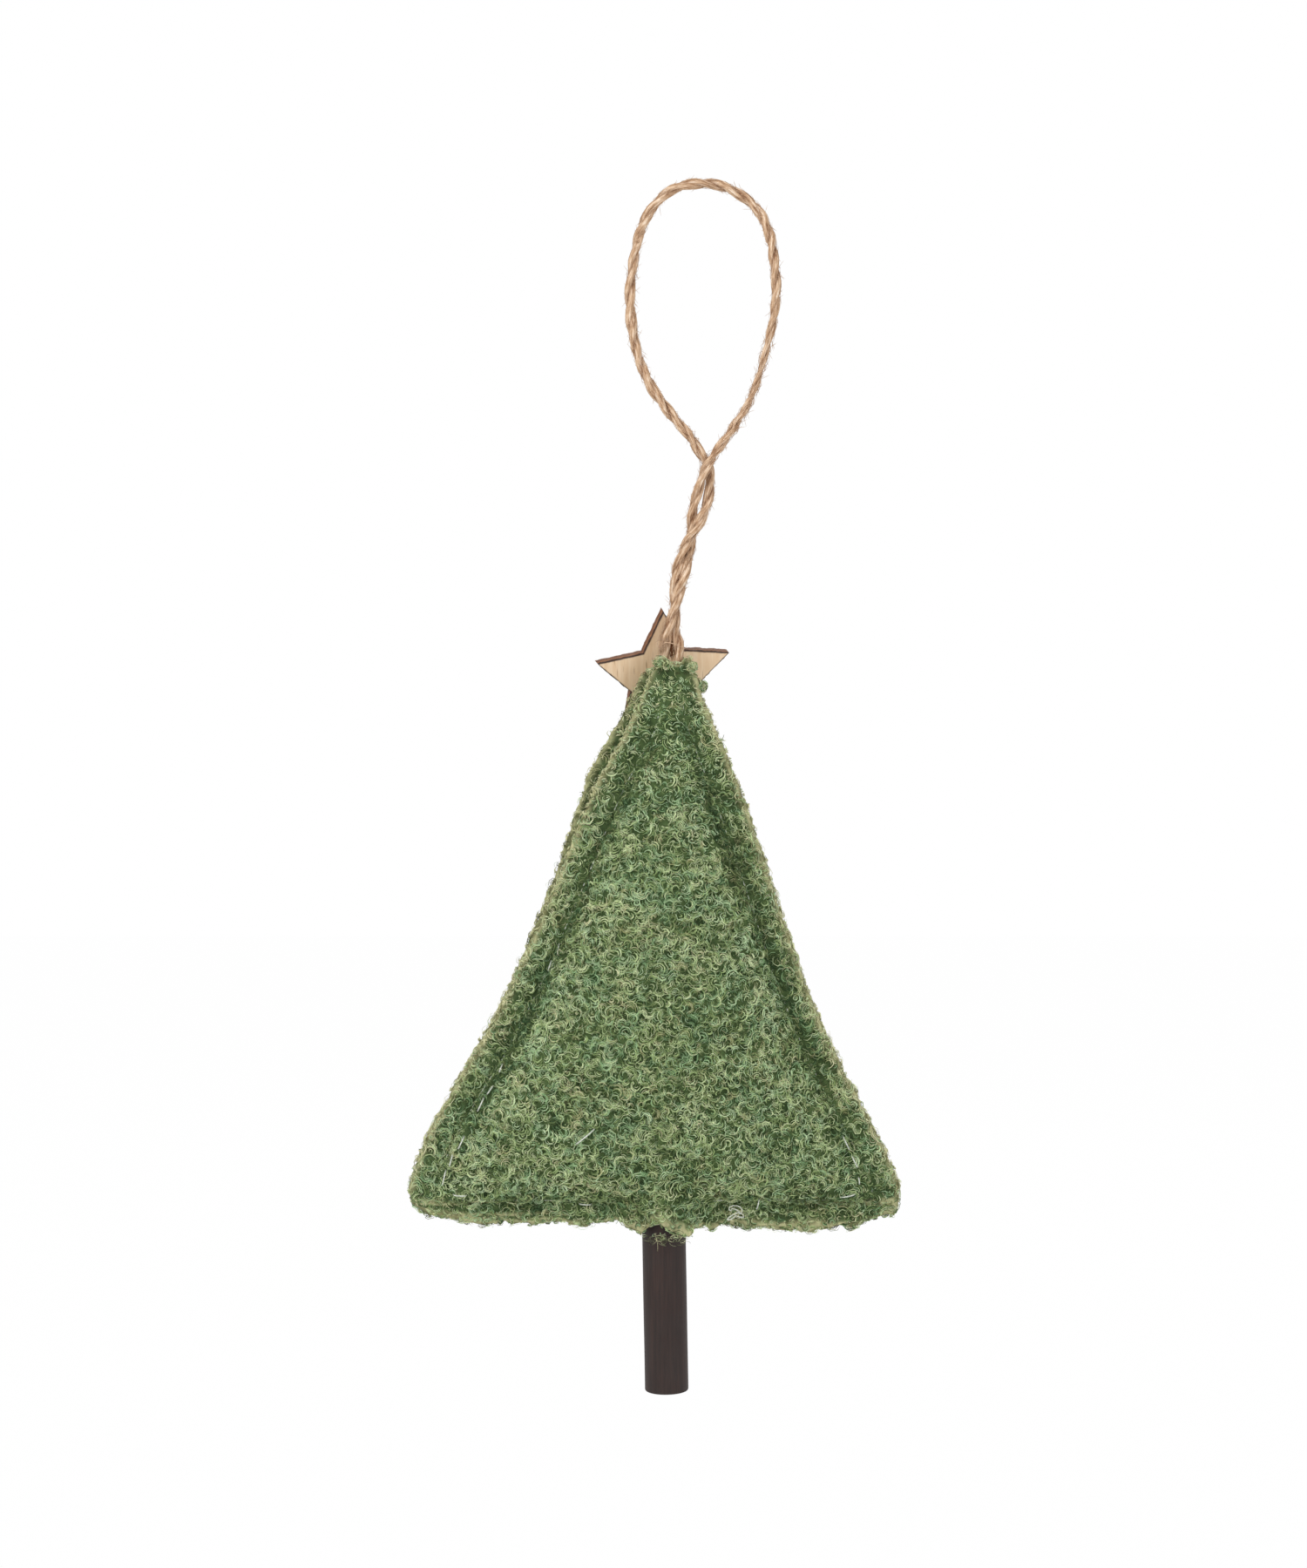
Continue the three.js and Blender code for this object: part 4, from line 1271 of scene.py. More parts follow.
def star_wall_depth(points):
    """How far in from the star's cut wall each point lies, in metres."""
    sector = math.pi / 5
    angle = np.arctan2(points[:, 1], points[:, 0]) - math.pi / 2
    folded = np.abs((angle + sector) % (2 * sector) - sector)
    tip = np.array((STAR_RADIUS, 0.0)) * MM
    notch = np.array((math.cos(sector), math.sin(sector))) * STAR_NOTCH * MM
    reach = np.linalg.norm(points[:, :2], axis=1)
    flat = np.stack([reach * np.cos(folded), reach * np.sin(folded)], axis=-1)
    run = (notch - tip) / np.linalg.norm(notch - tip)
    return np.abs((flat[:, 0] - tip[0]) * run[1] - (flat[:, 1] - tip[1]) * run[0])


star_points = points_of(star.data)
wall_depth = star_wall_depth(star_points)
layer_share = star_points[:, 2] / (STAR_THICKNESS * MM) + 0.5
lumps = noise_at(star_points, CHAR_LUMP_SIZE)
on_wall = np.clip(1 - wall_depth / (WALL_BAND * MM), 0, 1)
outward = star_points * (1, 1, 0)
outward /= np.linalg.norm(outward, axis=1)[:, None] + 1e-9
star_points -= outward * (on_wall * (0.1 + 1.4 * lumps) * CHAR_LUMP * MM)[:, None]
move_points(star, star_points)
float_attribute(star.data, "wall_depth", wall_depth / (CHAR_WIDTH * MM))
float_attribute(star.data, "ply_layer", layer_share)
grain_layer = star.data.uv_layers.new(name="grain")
grain_corners = np.empty(len(star.data.loops), np.int32)
star.data.loops.foreach_get("vertex_index", grain_corners)
grain_layer.uv.foreach_set("vector", (star_points[grain_corners, :2] * 100).astype(np.float32).ravel())
star.data.transform(star_frame())
select_only(star)
bpy.ops.object.shade_smooth_by_angle(angle=math.radians(40))


def box_gap(piece, node):
    """The most by which a piece's box differs from a CAD node's, in millimetres."""
    found = points_of(piece.data)
    gaps = np.array([found.min(axis=0), found.max(axis=0)]) - np.array(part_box(node))
    return round(float(np.abs(gaps).max()) / MM, 2)


print("star:", len(star.data.polygons), "faces, box within", box_gap(star, "star"), "mm of the frame's")

# %% [markdown]
# ## Trunk
# The trunk is a birch dowel dipped in dark stain, sawn off square and hidden for most of its
# length in the filling. A cylinder gives the round, a bevel breaks the sawn edges, and a few cuts
# along it let the surface waver by a few hundredths of a millimetre as turned wood does.

# %% Trunk dowel
TRUNK_RADIUS = 5.0
TRUNK_SHOWN = 39.1
TRUNK_HIDDEN = 66.0
TRUNK_AT_HEM = 2.15
TRUNK_LEAN = math.radians(1)
TRUNK_EASE = 0.4
TRUNK_PARTS = 30
TRUNK_WAVER = 0.008
WAVER_SCALE = (260, 260, 60)
trunk_length = TRUNK_SHOWN + TRUNK_HIDDEN
bpy.ops.object.select_all(action="DESELECT")
bpy.ops.mesh.primitive_cylinder_add(vertices=96, radius=TRUNK_RADIUS * MM, depth=trunk_length * MM)
trunk = bpy.context.object
trunk.name = "trunk_dowel"
bpy.ops.object.mode_set(mode="EDIT")
for cut in range(1, TRUNK_PARTS):
    bpy.ops.mesh.select_all(action="SELECT")
    level = (cut / TRUNK_PARTS - 0.5) * trunk_length * MM
    bpy.ops.mesh.bisect(plane_co=(0, 0, level), plane_no=(0, 0, 1))
bpy.ops.object.mode_set(mode="OBJECT")
sawn_edge = {"segments": 3, "limit_method": "ANGLE", "angle_limit": math.radians(60)}
add_modifier(trunk, "BEVEL", "sawn edge", width=TRUNK_EASE * MM, **sawn_edge)
apply_modifiers(trunk)
trunk_points = points_of(trunk.data)
waver = np.array([noise.noise(Vector(point * WAVER_SCALE)) for point in trunk_points])
trunk_points[:, :2] *= (1 + TRUNK_WAVER * waver)[:, None]
move_points(trunk, trunk_points)
trunk_middle = trunk_length / 2 - TRUNK_SHOWN
trunk_turn = Matrix.Rotation(-TRUNK_LEAN, 4, "Y")
trunk_seat = place(TRUNK_AT_HEM - math.tan(TRUNK_LEAN) * trunk_middle, 0, trunk_middle)
trunk.data.transform(Matrix.Translation(trunk_seat) @ trunk_turn)
trunk.location = (0, 0, 0)
select_only(trunk)
bpy.ops.object.shade_smooth_by_angle(angle=math.radians(50))
print("trunk:", len(trunk.data.polygons), "faces, box within", box_gap(trunk, "trunk"), "mm of the frame's")

# %% [markdown]
# ## Filling
# Polyester fibre fills the tree and shows only as a little white in the open hem beside the
# trunk. The frame's solid is remeshed, softened and pushed into lumps like teased fibre.

# %% Filling
def swell(piece, size, evenly, unevenly):
    """Moves a piece's skin outwards by an even amount and an uneven one, in millimetres."""
    points = points_of(piece.data)
    lumps = noise_at(points, size)
    move_points(piece, points + normals_of(piece.data) * ((evenly + unevenly * lumps) * MM)[:, None])


FILLING_SQUARE = 1.4
FILLING_LUMPS = (4, -0.35, -0.35)
filling = even_copy("stuffing", "fibre_filling", FILLING_SQUARE, smoothing=6)
swell(filling, *FILLING_LUMPS)
print("filling:", len(filling.data.polygons), "faces")

# %% [markdown]
# ## Glue
# A dab of hot glue holds the star off the cloth. The frame's disc is remeshed, rounded off and
# swollen unevenly, as glue sets that was squeezed between two things.

# %% Dab of glue
DAB_SQUARE = 0.4
DAB_LUMPS = (3, 0.25, 0.5)
dab = even_copy("star_glue", "glue_dab", DAB_SQUARE, smoothing=12)
swell(dab, *DAB_LUMPS)
print("dab:", len(dab.data.polygons), "faces, box within", box_gap(dab, "star_glue"), "mm of the frame's")

# %% [markdown]
# ## Sewing thread
# A pale thread joins the two cloths. Most of it is sunk in the wool of the groove, and pieces of
# it surface low on the slanting sides and along the hem. Each stitch is a short bent tube. The
# ones that show are placed where the photograph has them, on the cloth that the camera sees there.

# %% Places on the cloth
cloth_trees = {}
for side, cloth in cloths.items():
    mesh_copy = bmesh.new()
    mesh_copy.from_mesh(cloth.data)
    cloth_trees[side] = BVHTree.FromBMesh(mesh_copy)
    mesh_copy.free()


def on_back(pixel_x, pixel_y):
    """Where the camera's ray through a pixel meets the back cloth, and the cloth's normal there."""
    seen = pixel_place(pixel_x, pixel_y)
    spot, normal = cloth_trees["back"].ray_cast(camera_place, seen - camera_place)[:2]
    if spot is None:
        spot, normal = cloth_trees["back"].find_nearest(seen)[:2]
    return spot, normal


def across_cloth(side, across, level):
    """The place on a cloth's outer face that is straight behind a place in the frame."""
    start = Vector((across, 0.1 * outward_of[side], level))
    return cloth_trees[side].ray_cast(start, Vector((0, -outward_of[side], 0)))[0]


# %% Stitches
THREAD_RADIUS = 0.15
THREAD_SIDES = 8
STITCH_RINGS = 9
STITCH_LENGTH = 3.1
STITCH_GAP = 0.5
STITCH_DIVE = 0.15
ARCH_FLATNESS = 0.35
SUNK_LIFT = -0.05
SHOWN_LIFT = 1.9
TRUNK_GAP = (-9, 13)
HEM_RUN_POINTS = 60
SHOWN_STITCHES = [
    ((577, 1221), (573, 1231)), ((566, 1246), (559, 1256)), ((556, 1259), (548, 1276)),
    ((533, 1304), (526, 1319)), ((520, 1324), (516, 1339)), ((512, 1343), (508, 1361)),
    ((520, 1371), (536, 1372)), ((642, 1083), (640, 1096)), ((633, 1103), (629, 1115)),
    ((967, 1304), (975, 1320)), ((977, 1326), (984, 1340)), ((985, 1351), (986, 1359)),
    ((964, 1374), (982, 1370)), ((871, 1376), (868, 1388)), ((664, 1381), (679, 1382)),
    ((660, 1314), (683, 1295)),
]


def tube_along(path, radius, sides, start):
    """Points, quads and cap triangles of a tube along a path in metres."""
    ahead, side, other = carried_frames(path)
    around = np.linspace(0, 2 * math.pi, sides, endpoint=False)
    rings = path[:, None, :] + spokes(side, other, around) * radius
    quads, triangles = tube_faces(len(path), sides, start)
    return np.concatenate([rings.reshape(-1, 3), path[[0, -1]]]), quads, triangles


def stitch_path(side, begin, end, lift):
    """A stitch that comes up steeply at both ends and lies straight between them."""
    shares = np.linspace(0, 1, STITCH_RINGS)[:, None]
    line = np.array(begin) * (1 - shares) + np.array(end) * shares
    arch = np.clip(np.sin(math.pi * shares), 0, 1) ** ARCH_FLATNESS
    return line + np.array((0, outward_of[side], 0)) * (lift * arch - STITCH_DIVE) * MM


def seam_stitches(side):
    """Stitches down both slanting seams of one cloth, and along its hem on each side of the trunk."""
    lines = panel_lines["back"]
    levels = lines["level"]
    low = hem_level + HEM_SEAM * MM
    inside = (levels > low) & (levels < tip_level - TIP_SEAM * MM)
    seams = [lines[name] for name in ("left_seam", "right_seam")]
    runs = [np.stack([seam[inside], levels[inside]], axis=-1) for seam in seams]
    ends = [np.interp(low, levels, seam) for seam in seams]
    gap_begin, gap_end = (place(across, 0, 0).x for across in TRUNK_GAP)
    for begin, end in ((ends[0], gap_begin), (gap_end, ends[1])):
        across = np.linspace(begin, end, HEM_RUN_POINTS)
        runs.append(np.stack([across, np.full(HEM_RUN_POINTS, low)], axis=-1))
    paths = []
    for run in runs:
        along = np.concatenate([[0], np.cumsum(np.linalg.norm(np.diff(run, axis=0), axis=1))])
        first = 0.0
        while first + STITCH_LENGTH * MM < along[-1]:
            marks = []
            for at in (first, first + STITCH_LENGTH * MM):
                across = np.interp(at, along, run[:, 0])
                level = np.interp(at, along, run[:, 1])
                marks.append(across_cloth(side, across, level))
            if None not in marks:
                paths.append(stitch_path(side, *marks, SUNK_LIFT))
            first += (STITCH_LENGTH + STITCH_GAP) * MM
    return paths


def thread_piece(name, paths):
    points, quads, triangles = [], [], []
    start = 0
    for path in paths:
        part = tube_along(path, THREAD_RADIUS * MM, THREAD_SIDES, start)
        for found, new in zip((points, quads, triangles), part):
            found.append(new)
        start += len(part[0])
    return add_object(name, write_mesh(name, *map(np.concatenate, (points, quads, triangles))))


back_paths = seam_stitches("back")
for begin, end in SHOWN_STITCHES:
    back_paths.append(stitch_path("back", on_back(*begin)[0], on_back(*end)[0], SHOWN_LIFT))
TANGLE_PIXEL = (844, 1391)
TANGLE_OUT = 1.6
turns = np.linspace(0, 2 * math.pi, 60)
tangle = np.stack([
    1.5 * np.sin(2 * turns) + 0.4 * np.sin(5 * turns),
    0.3 * np.cos(3 * turns),
    1.2 * np.cos(turns + 0.4) + 0.5 * np.cos(4 * turns),
], axis=-1)
back_paths.append(np.array(on_back(*TANGLE_PIXEL)[0]) + (tangle - (0, TANGLE_OUT, 0)) * MM)
print("stitches on the back:", len(back_paths) - 1)
threads = [thread_piece("back_thread", back_paths), thread_piece("front_thread", seam_stitches("front"))]
for piece in threads:
    print(piece.name, len(piece.data.polygons), "faces")

# %% [markdown]
# ## Loose wool
# Wool sheds fine hairs that lie in wide arcs over the curls and stand off the outline. A few
# ragged tufts stick up where the tip was cut, and dark wisps hang over the top of the trunk.

# %% Loose hairs
LOOSE_HAIRS = 3600
HAIR_PLACES = 6
LOOSE_RADIUS = 0.035
LOOSE_LENGTH = (1.2, 4.2)
LOOSE_HEIGHT = (0.5, 1.25)
LOOSE_BOW = 1.6


def arc_paths(roots, normals, length, heights, bow, random):
    """Fine hairs that lie over the pile in arcs, as paths of HAIR_PLACES places."""
    count = len(roots)
    tangent = unit(np.cross(normals, random.normal(0, 1, (count, 3))))
    shares = np.linspace(-0.5, 0.5, HAIR_PLACES)[None, :]
    turn = random.normal(0, bow, count)[:, None]
    twist = random.normal(0, 1.0, count)[:, None]
    angle = turn * shares + twist * shares**2 * 2
    step = length[:, None] / HAIR_PLACES
    flat_x = np.cumsum(np.cos(angle), axis=1) * step
    flat_y = np.cumsum(np.sin(angle), axis=1) * step
    lift = heights[:, None] * (1 - 3.2 * shares**2)
    return roots[:, None, :] + laid_on(normals, tangent, flat_x, flat_y, lift) * MM


def loose_hairs(side, seed):
    random = np.random.default_rng(seed)
    spots, facing = surface_samples(cloths[side].data, LOOSE_HAIRS * 3, random)
    outward = facing[:, 1] * outward_of[side] > 0.1
    spots, facing = spots[outward][:LOOSE_HAIRS], facing[outward][:LOOSE_HAIRS]
    length = random.uniform(*LOOSE_LENGTH, len(spots))
    height = random.uniform(*LOOSE_HEIGHT, len(spots))
    paths = arc_paths(spots, facing, length, height, LOOSE_BOW, random)
    shades = (random.integers(0, 3, len(spots)) + random.uniform(0.3, 0.88, len(spots))) * HUE_WIDTH
    return paths, np.full(len(spots), LOOSE_RADIUS * MM), shades


# %% Tufts at the tip, and fuzz on the thread's tangle
TUFT_RADIUS = 0.08
PALE_TUFTS = 0.25
PUFF_LENGTH = (1.6, 3.4)
PUFF_HEIGHT = (-0.1, 0.25)
PUFF_BOW = 4.5
FUZZ_RADIUS = 0.05
FUZZ_BALL = (2.0, 30)
TIP_TUFTS = [
    ((700, 838), (-1, -0.2, 0.4), 20, 1.6, 0.5), ((724, 812), (-0.9, -0.4, 0.5), 16, 1.4, 0.5),
    ((826, 850), (1, 0, 0.3), 12, 1.4, 0.5),
]
TIP_PUFFS = [
    ((758, 762), 1.5, 80), ((766, 764), 1.1, 40), ((792, 767), 1.4, 70), ((804, 788), 1.5, 140),
    ((746, 771), 0.9, 30),
]


def tuft_paths(root, direction, count, length, spread, random):
    """Strands from one root that fan out about a direction and curl over at their ends."""
    aim = unit(unit(np.array(direction, float)) + random.normal(0, spread, (count, 3)))
    curl = random.normal(0, 1, (count, 3))
    curl = unit(curl - aim * (curl * aim).sum(axis=1)[:, None])
    shares = np.linspace(0, 1, HAIR_PLACES)[None, :, None]
    reach = length * random.uniform(0.5, 1.1, count)[:, None, None]
    start = np.array(root) + random.normal(0, 0.3 * MM, (count, 3))
    bend = random.uniform(0.2, 0.7, count)[:, None, None]
    return start[:, None, :] + (aim[:, None, :] * shares + curl[:, None, :] * bend * shares**2) * reach


def puff_paths(root, normal, radius, count, random):
    """A little ball of curled strands that stands on the cloth."""
    direction = unit(random.normal(0, 1, (count, 3)))
    middle = np.array(root) + np.array(normal) * radius * 0.4 * MM
    roots = middle + direction * (radius * random.uniform(0.5, 1, count) * MM)[:, None]
    length = random.uniform(*PUFF_LENGTH, count)
    height = random.uniform(*PUFF_HEIGHT, count)
    return arc_paths(roots, direction, length, height, PUFF_BOW, random)


random = np.random.default_rng(61)
tuft_groups = []
for pixel, direction, count, length, spread in TIP_TUFTS:
    root, normal = on_back(*pixel)
    tuft_groups.append(tuft_paths(root, direction, count, length * MM, spread, random))
for pixel, radius, count in TIP_PUFFS:
    tuft_groups.append(puff_paths(*on_back(*pixel), radius, count, random))
tufts = np.concatenate(tuft_groups)
tuft_shades = (random.choice((0, 1, 2), len(tufts)) + random.uniform(0.05, 0.9, len(tufts))) * HUE_WIDTH
pale_tuft = random.random(len(tufts)) < PALE_TUFTS
tuft_shades = np.where(pale_tuft, random.uniform(PALE_FROM + 0.02, 0.97, len(tufts)), tuft_shades)
tangle_spot, tangle_normal = on_back(*TANGLE_PIXEL)
fuzz = puff_paths(np.array(tangle_spot) - (0, 0.9 * MM, 0), tangle_normal, *FUZZ_BALL, random)
fuzz_shades = random.uniform(PALE_FROM + 0.04, 1, len(fuzz))

# %% Wisps over the trunk
WISPS = 84
LONG_WISPS = 2
DARK_WISPS = 48
DARK_WISP_SHADE = 2.03
LONG_WISP_SHADE = 2.75
WISP_SHADES = (0.7, 1.6, 1.9, 2.8)
WISP_PIXELS_ACROSS = (743, 788)
LONG_WISP_PIXELS_ACROSS = (744, 754)
WISP_PIXELS_DOWN = (1408, 1413)
WISP_DEPTH = (-7.6, -5.6)
LONG_WISP_DROP = 3.4
WISP_DROP = (0.1, 1.0)
is_long = np.arange(WISPS)[:, None] < LONG_WISPS
long_across = random.uniform(*LONG_WISP_PIXELS_ACROSS, WISPS)
wisp_across = np.where(is_long[:, 0], long_across, random.uniform(*WISP_PIXELS_ACROSS, WISPS))
wisp_level = random.uniform(*WISP_PIXELS_DOWN, WISPS) + np.interp(wisp_across, (741, 785), (0, 3))
wisp_level[LONG_WISPS:DARK_WISPS] += 4
wisp_depth = random.uniform(*WISP_DEPTH, WISPS)
wisp_roots = np.array([
    np.array(pixel_place(x, y)) + (0, d * MM, 0) for x, y, d in zip(wisp_across, wisp_level, wisp_depth)
])
wisp_shares = np.linspace(0, 1, HAIR_PLACES)[None, :]
wisp_turn = random.uniform(0, 2 * math.pi, (WISPS, 1)) + random.normal(0, 6, (WISPS, 1)) * wisp_shares
wisp_drop = np.where(is_long, LONG_WISP_DROP, random.uniform(*WISP_DROP, (WISPS, 1))) * wisp_shares
wisp_curl = random.uniform(0.3, 1.1, (WISPS, 1))
wisp_local = np.stack([
    wisp_curl * (np.cos(wisp_turn) - np.cos(wisp_turn[:, :1])),
    -0.15 * wisp_curl * np.sin(wisp_turn),
    -wisp_drop + 0.5 * wisp_curl * (np.sin(wisp_turn) - np.sin(wisp_turn[:, :1])),
], axis=-1)
wisps = wisp_roots[:, None, :] + wisp_local * MM
wisp_shades = random.choice(WISP_SHADES, WISPS)
wisp_shades[:LONG_WISPS] = LONG_WISP_SHADE
wisp_shades[LONG_WISPS:DARK_WISPS] = DARK_WISP_SHADE
wisp_shades *= HUE_WIDTH

# %% Loose wool in two pieces
back_loose = [loose_hairs("back", 71)]
back_loose.append((tufts, np.full(len(tufts), TUFT_RADIUS * MM), tuft_shades))
back_loose.append((wisps, np.where(is_long[:, 0], 0.03, 0.045) * MM, wisp_shades))
back_loose.append((fuzz, np.full(len(fuzz), FUZZ_RADIUS * MM), fuzz_shades))
pile.append(pile_piece("back_loose_wool", *[np.concatenate(parts) for parts in zip(*back_loose)]))
pile.append(pile_piece("front_loose_wool", *loose_hairs("front", 72)))
for piece in pile[-2:]:
    print(piece.name, len(piece.data.polygons), "faces")

# %% [markdown]
# ## Materials: helpers
# Each finish is a small node tree. Numbers that are the same all over a surface are set on the
# shader itself. Patterns come from the piece's own map, from an attribute or from its place. The
# colour lists give screen values of red, green and blue, each at its place from 0 to 1.

# %% Material helpers
def srgb(red, green, blue):
    """A colour given as 0 to 255 screen values, as the linear colour a shader wants."""
    def linear(value):
        value /= 255
        return value / 12.92 if value <= 0.04045 else ((value + 0.055) / 1.055) ** 2.4
    return (linear(red), linear(green), linear(blue), 1.0)


class Tree:
    """Short ways to add and join the nodes of a node tree."""

    def __init__(self, node_tree):
        self.nodes = node_tree.nodes
        self.links = node_tree.links

    def feed(self, target, value):
        """Joins another node's output to an input, or sets the input to a value of its own."""
        if hasattr(value, "is_output"):
            self.links.new(value, target)
        else:
            target.default_value = value

    def add(self, kind, **inputs):
        node = self.nodes.new("ShaderNode" + kind)
        for key, value in inputs.items():
            self.feed(node.inputs[key], value)
        return node

    def maths(self, operation, *values):
        node = self.add("Math")
        node.operation = operation
        for index, value in enumerate(values):
            self.feed(node.inputs[index], value)
        return node.outputs["Value"]

    def places(self):
        return self.add("TexCoord").outputs["Object"]

    def on_map(self, name):
        node = self.add("UVMap")
        node.uv_map = name
        return node.outputs["UV"]

    def attribute(self, name):
        node = self.add("Attribute")
        node.attribute_name = name
        return node.outputs["Fac"]

    def stretched(self, places, scale, turn=(0, 0, 0)):
        return self.add("Mapping", Vector=places, Scale=scale, Rotation=turn).outputs["Vector"]

    def noise(self, places, **inputs):
        return self.add("TexNoise", Vector=places, **inputs).outputs["Fac"]

    def ramp(self, source, stops):
        """A colour for each value between the stops. Their colours are screen values, or linear
        ones with an alpha."""
        node = self.add("ValToRGB", Fac=source)
        elements = node.color_ramp.elements
        while len(elements) < len(stops):
            elements.new(0.5)
        for element, (at, colour) in zip(elements, stops):
            element.position = at
        for element, (at, colour) in zip(elements, stops):
            element.color = srgb(*colour) if len(colour) == 3 else colour
        return node.outputs["Color"]

    def mix(self, share, low, high, blend="MIX"):
        node = self.add("Mix")
        node.data_type = "RGBA"
        node.blend_type = blend
        for name, value in (("Factor", share), ("A", low), ("B", high)):
            self.feed(node.inputs[name], value)
        return node.outputs["Result"]


class Finish(Tree):
    """A material with a Principled shader."""

    def __init__(self, name, roughness, specular=0.5):
        self.material = bpy.data.materials.new(name)
        self.material.use_nodes = True
        super().__init__(self.material.node_tree)
        self.shader = self.nodes["Principled BSDF"]
        self.shader.inputs["Roughness"].default_value = roughness
        self.shader.inputs["Specular IOR Level"].default_value = specular

    def colour(self, output):
        self.feed(self.shader.inputs["Base Color"], output)

    def bump(self, height, strength, distance):
        node = self.add("Bump", Height=height, Strength=strength, Distance=distance)
        self.feed(self.shader.inputs["Normal"], node.outputs["Normal"])

    def wear(self, piece, slot=None):
        piece.data.materials.clear()
        piece.data.materials.append(self.material)


# %% Wool strands
wool = Finish("looped wool", roughness=0.95, specular=0.15)
wool_split = wool.add("SeparateXYZ", Vector=wool.on_map(SURFACE_MAP))
WOOL_FAMILIES = [
    [(58, 86, 54), (164, 202, 148), (228, 248, 206)],
    [(72, 92, 52), (186, 210, 144), (242, 252, 206)],
    [(84, 90, 58), (196, 200, 144), (244, 242, 200)],
]
CUT_EDGE_SHADES = [(206, 208, 156), (248, 244, 208)]
WOOL_SHADES = []
for family, colours in enumerate(WOOL_FAMILIES):
    for share, colour in zip((0.02, 0.5, 0.96), colours):
        WOOL_SHADES.append(((family + share) * HUE_WIDTH, colour))
WOOL_SHADES += zip((PALE_FROM + 0.01, 1.0), CUT_EDGE_SHADES)
# Painted shade: each strand darkens towards its ends, where it dives into the pile.
ROOT_PAINTED_SHADE = [(0.0, (120, 126, 108)), (0.65, (255, 255, 255))]
wool_colour = wool.ramp(wool_split.outputs["X"], WOOL_SHADES)
painted_root_shade = wool.ramp(wool_split.outputs["Y"], ROOT_PAINTED_SHADE)
wool.colour(wool.mix(1.0, wool_colour, painted_root_shade, "MULTIPLY"))
for piece in pile:
    wool.wear(piece, "wool_cloth")

# %% Cloth under the curls
# The cloth's own colour, kept dark so that the gaps between the curls show painted shade as well.
BACKING_AND_GAP_PAINTED_SHADE = [(0.3, (50, 66, 40)), (0.7, (90, 110, 68))]
CUT_SHADES = [(0.3, (120, 120, 82)), (0.7, (206, 204, 158))]
backing = Finish("wool backing", roughness=0.95, specular=0.1)
backing_noise = backing.noise(backing.places(), Scale=420.0, Detail=3.0)
backing_and_gap_shade_colour = backing.ramp(backing_noise, BACKING_AND_GAP_PAINTED_SHADE)
cut_colour = backing.ramp(backing_noise, CUT_SHADES)
backing.colour(backing.mix(backing.attribute("cut_edge"), backing_and_gap_shade_colour, cut_colour))
for cloth in cloths.values():
    backing.wear(cloth, "wool_cloth")

# %% Twine
JUTE_SHADES = [
    (0.34, (122, 88, 62)),
    (0.44, (182, 144, 112)),
    (0.52, (212, 180, 148)),
    (0.6, (234, 208, 182)),
    (0.7, (252, 238, 218)),
]
# Painted shade: the jute darkens by how deep it lies in the crease between the plies, and on the fibres in
# the frayed foot's hollow.
PLY_CREASE_PAINTED_SHADE = srgb(150, 116, 90)
jute = Finish("jute twine", roughness=0.85, specular=0.25)
jute_along = jute.stretched(jute.on_map(SURFACE_MAP), (20.0, 60.0, 1.0))
jute_colour = jute.ramp(jute.noise(jute_along, Scale=1.0, Detail=5.0, Roughness=0.7), JUTE_SHADES)
jute_painted_shade = jute.mix(1.0, jute_colour, PLY_CREASE_PAINTED_SHADE, "MULTIPLY")
jute.colour(jute.mix(jute.attribute("crease"), jute_colour, jute_painted_shade))
for piece in twine_pieces.values():
    jute.wear(piece)
jute.wear(twine_fray, "jute_twine")

# %% Thread
def mottled(name, roughness, specular, shades, **noise_inputs):
    """A finish whose colour varies in soft patches, and those patches."""
    finish = Finish(name, roughness, specular)
    patches = finish.noise(finish.places(), **noise_inputs)
    finish.colour(finish.ramp(patches, shades))
    return finish, patches


COTTON_SHADES = [(0.3, (172, 180, 166)), (0.7, (232, 234, 224))]
cotton = mottled("pale sewing thread", 0.55, 0.4, COTTON_SHADES, Scale=2500.0, Detail=2.0)[0]
for piece in threads:
    cotton.wear(piece)

# %% Wood grain group
PORE_RANGE = {"From Min": 0.05, "From Max": 0.22, "To Min": 1.0, "To Max": 0.0}


def grain_group():
    """Long fine streaks and pores, each from 0 to 1, for places stretched along the grain."""
    group = bpy.data.node_groups.new("wood grain", "ShaderNodeTree")
    group.interface.new_socket("Places", in_out="INPUT", socket_type="NodeSocketVector")
    group.interface.new_socket("Streaks", in_out="OUTPUT", socket_type="NodeSocketFloat")
    group.interface.new_socket("Pores", in_out="OUTPUT", socket_type="NodeSocketFloat")
    tree = Tree(group)
    places = tree.nodes.new("NodeGroupInput").outputs["Places"]
    result = tree.nodes.new("NodeGroupOutput")
    streaks = tree.noise(places, Scale=1.0, Detail=5.0, Roughness=0.65)
    pores = tree.add("TexVoronoi", Vector=places, Scale=1.6)
    narrow = tree.add("MapRange", Value=pores.outputs["Distance"], **PORE_RANGE)
    tree.feed(result.inputs["Streaks"], streaks)
    tree.feed(result.inputs["Pores"], narrow.outputs["Result"])
    return group


wood_grain = grain_group()


def add_grain(finish, places, scale, turn=(0, 0, 0)):
    """Places the grain group in a finish, with its places stretched along the grain."""
    node = finish.add("Group")
    node.node_tree = wood_grain
    finish.feed(node.inputs["Places"], finish.stretched(places, scale, turn))
    return node


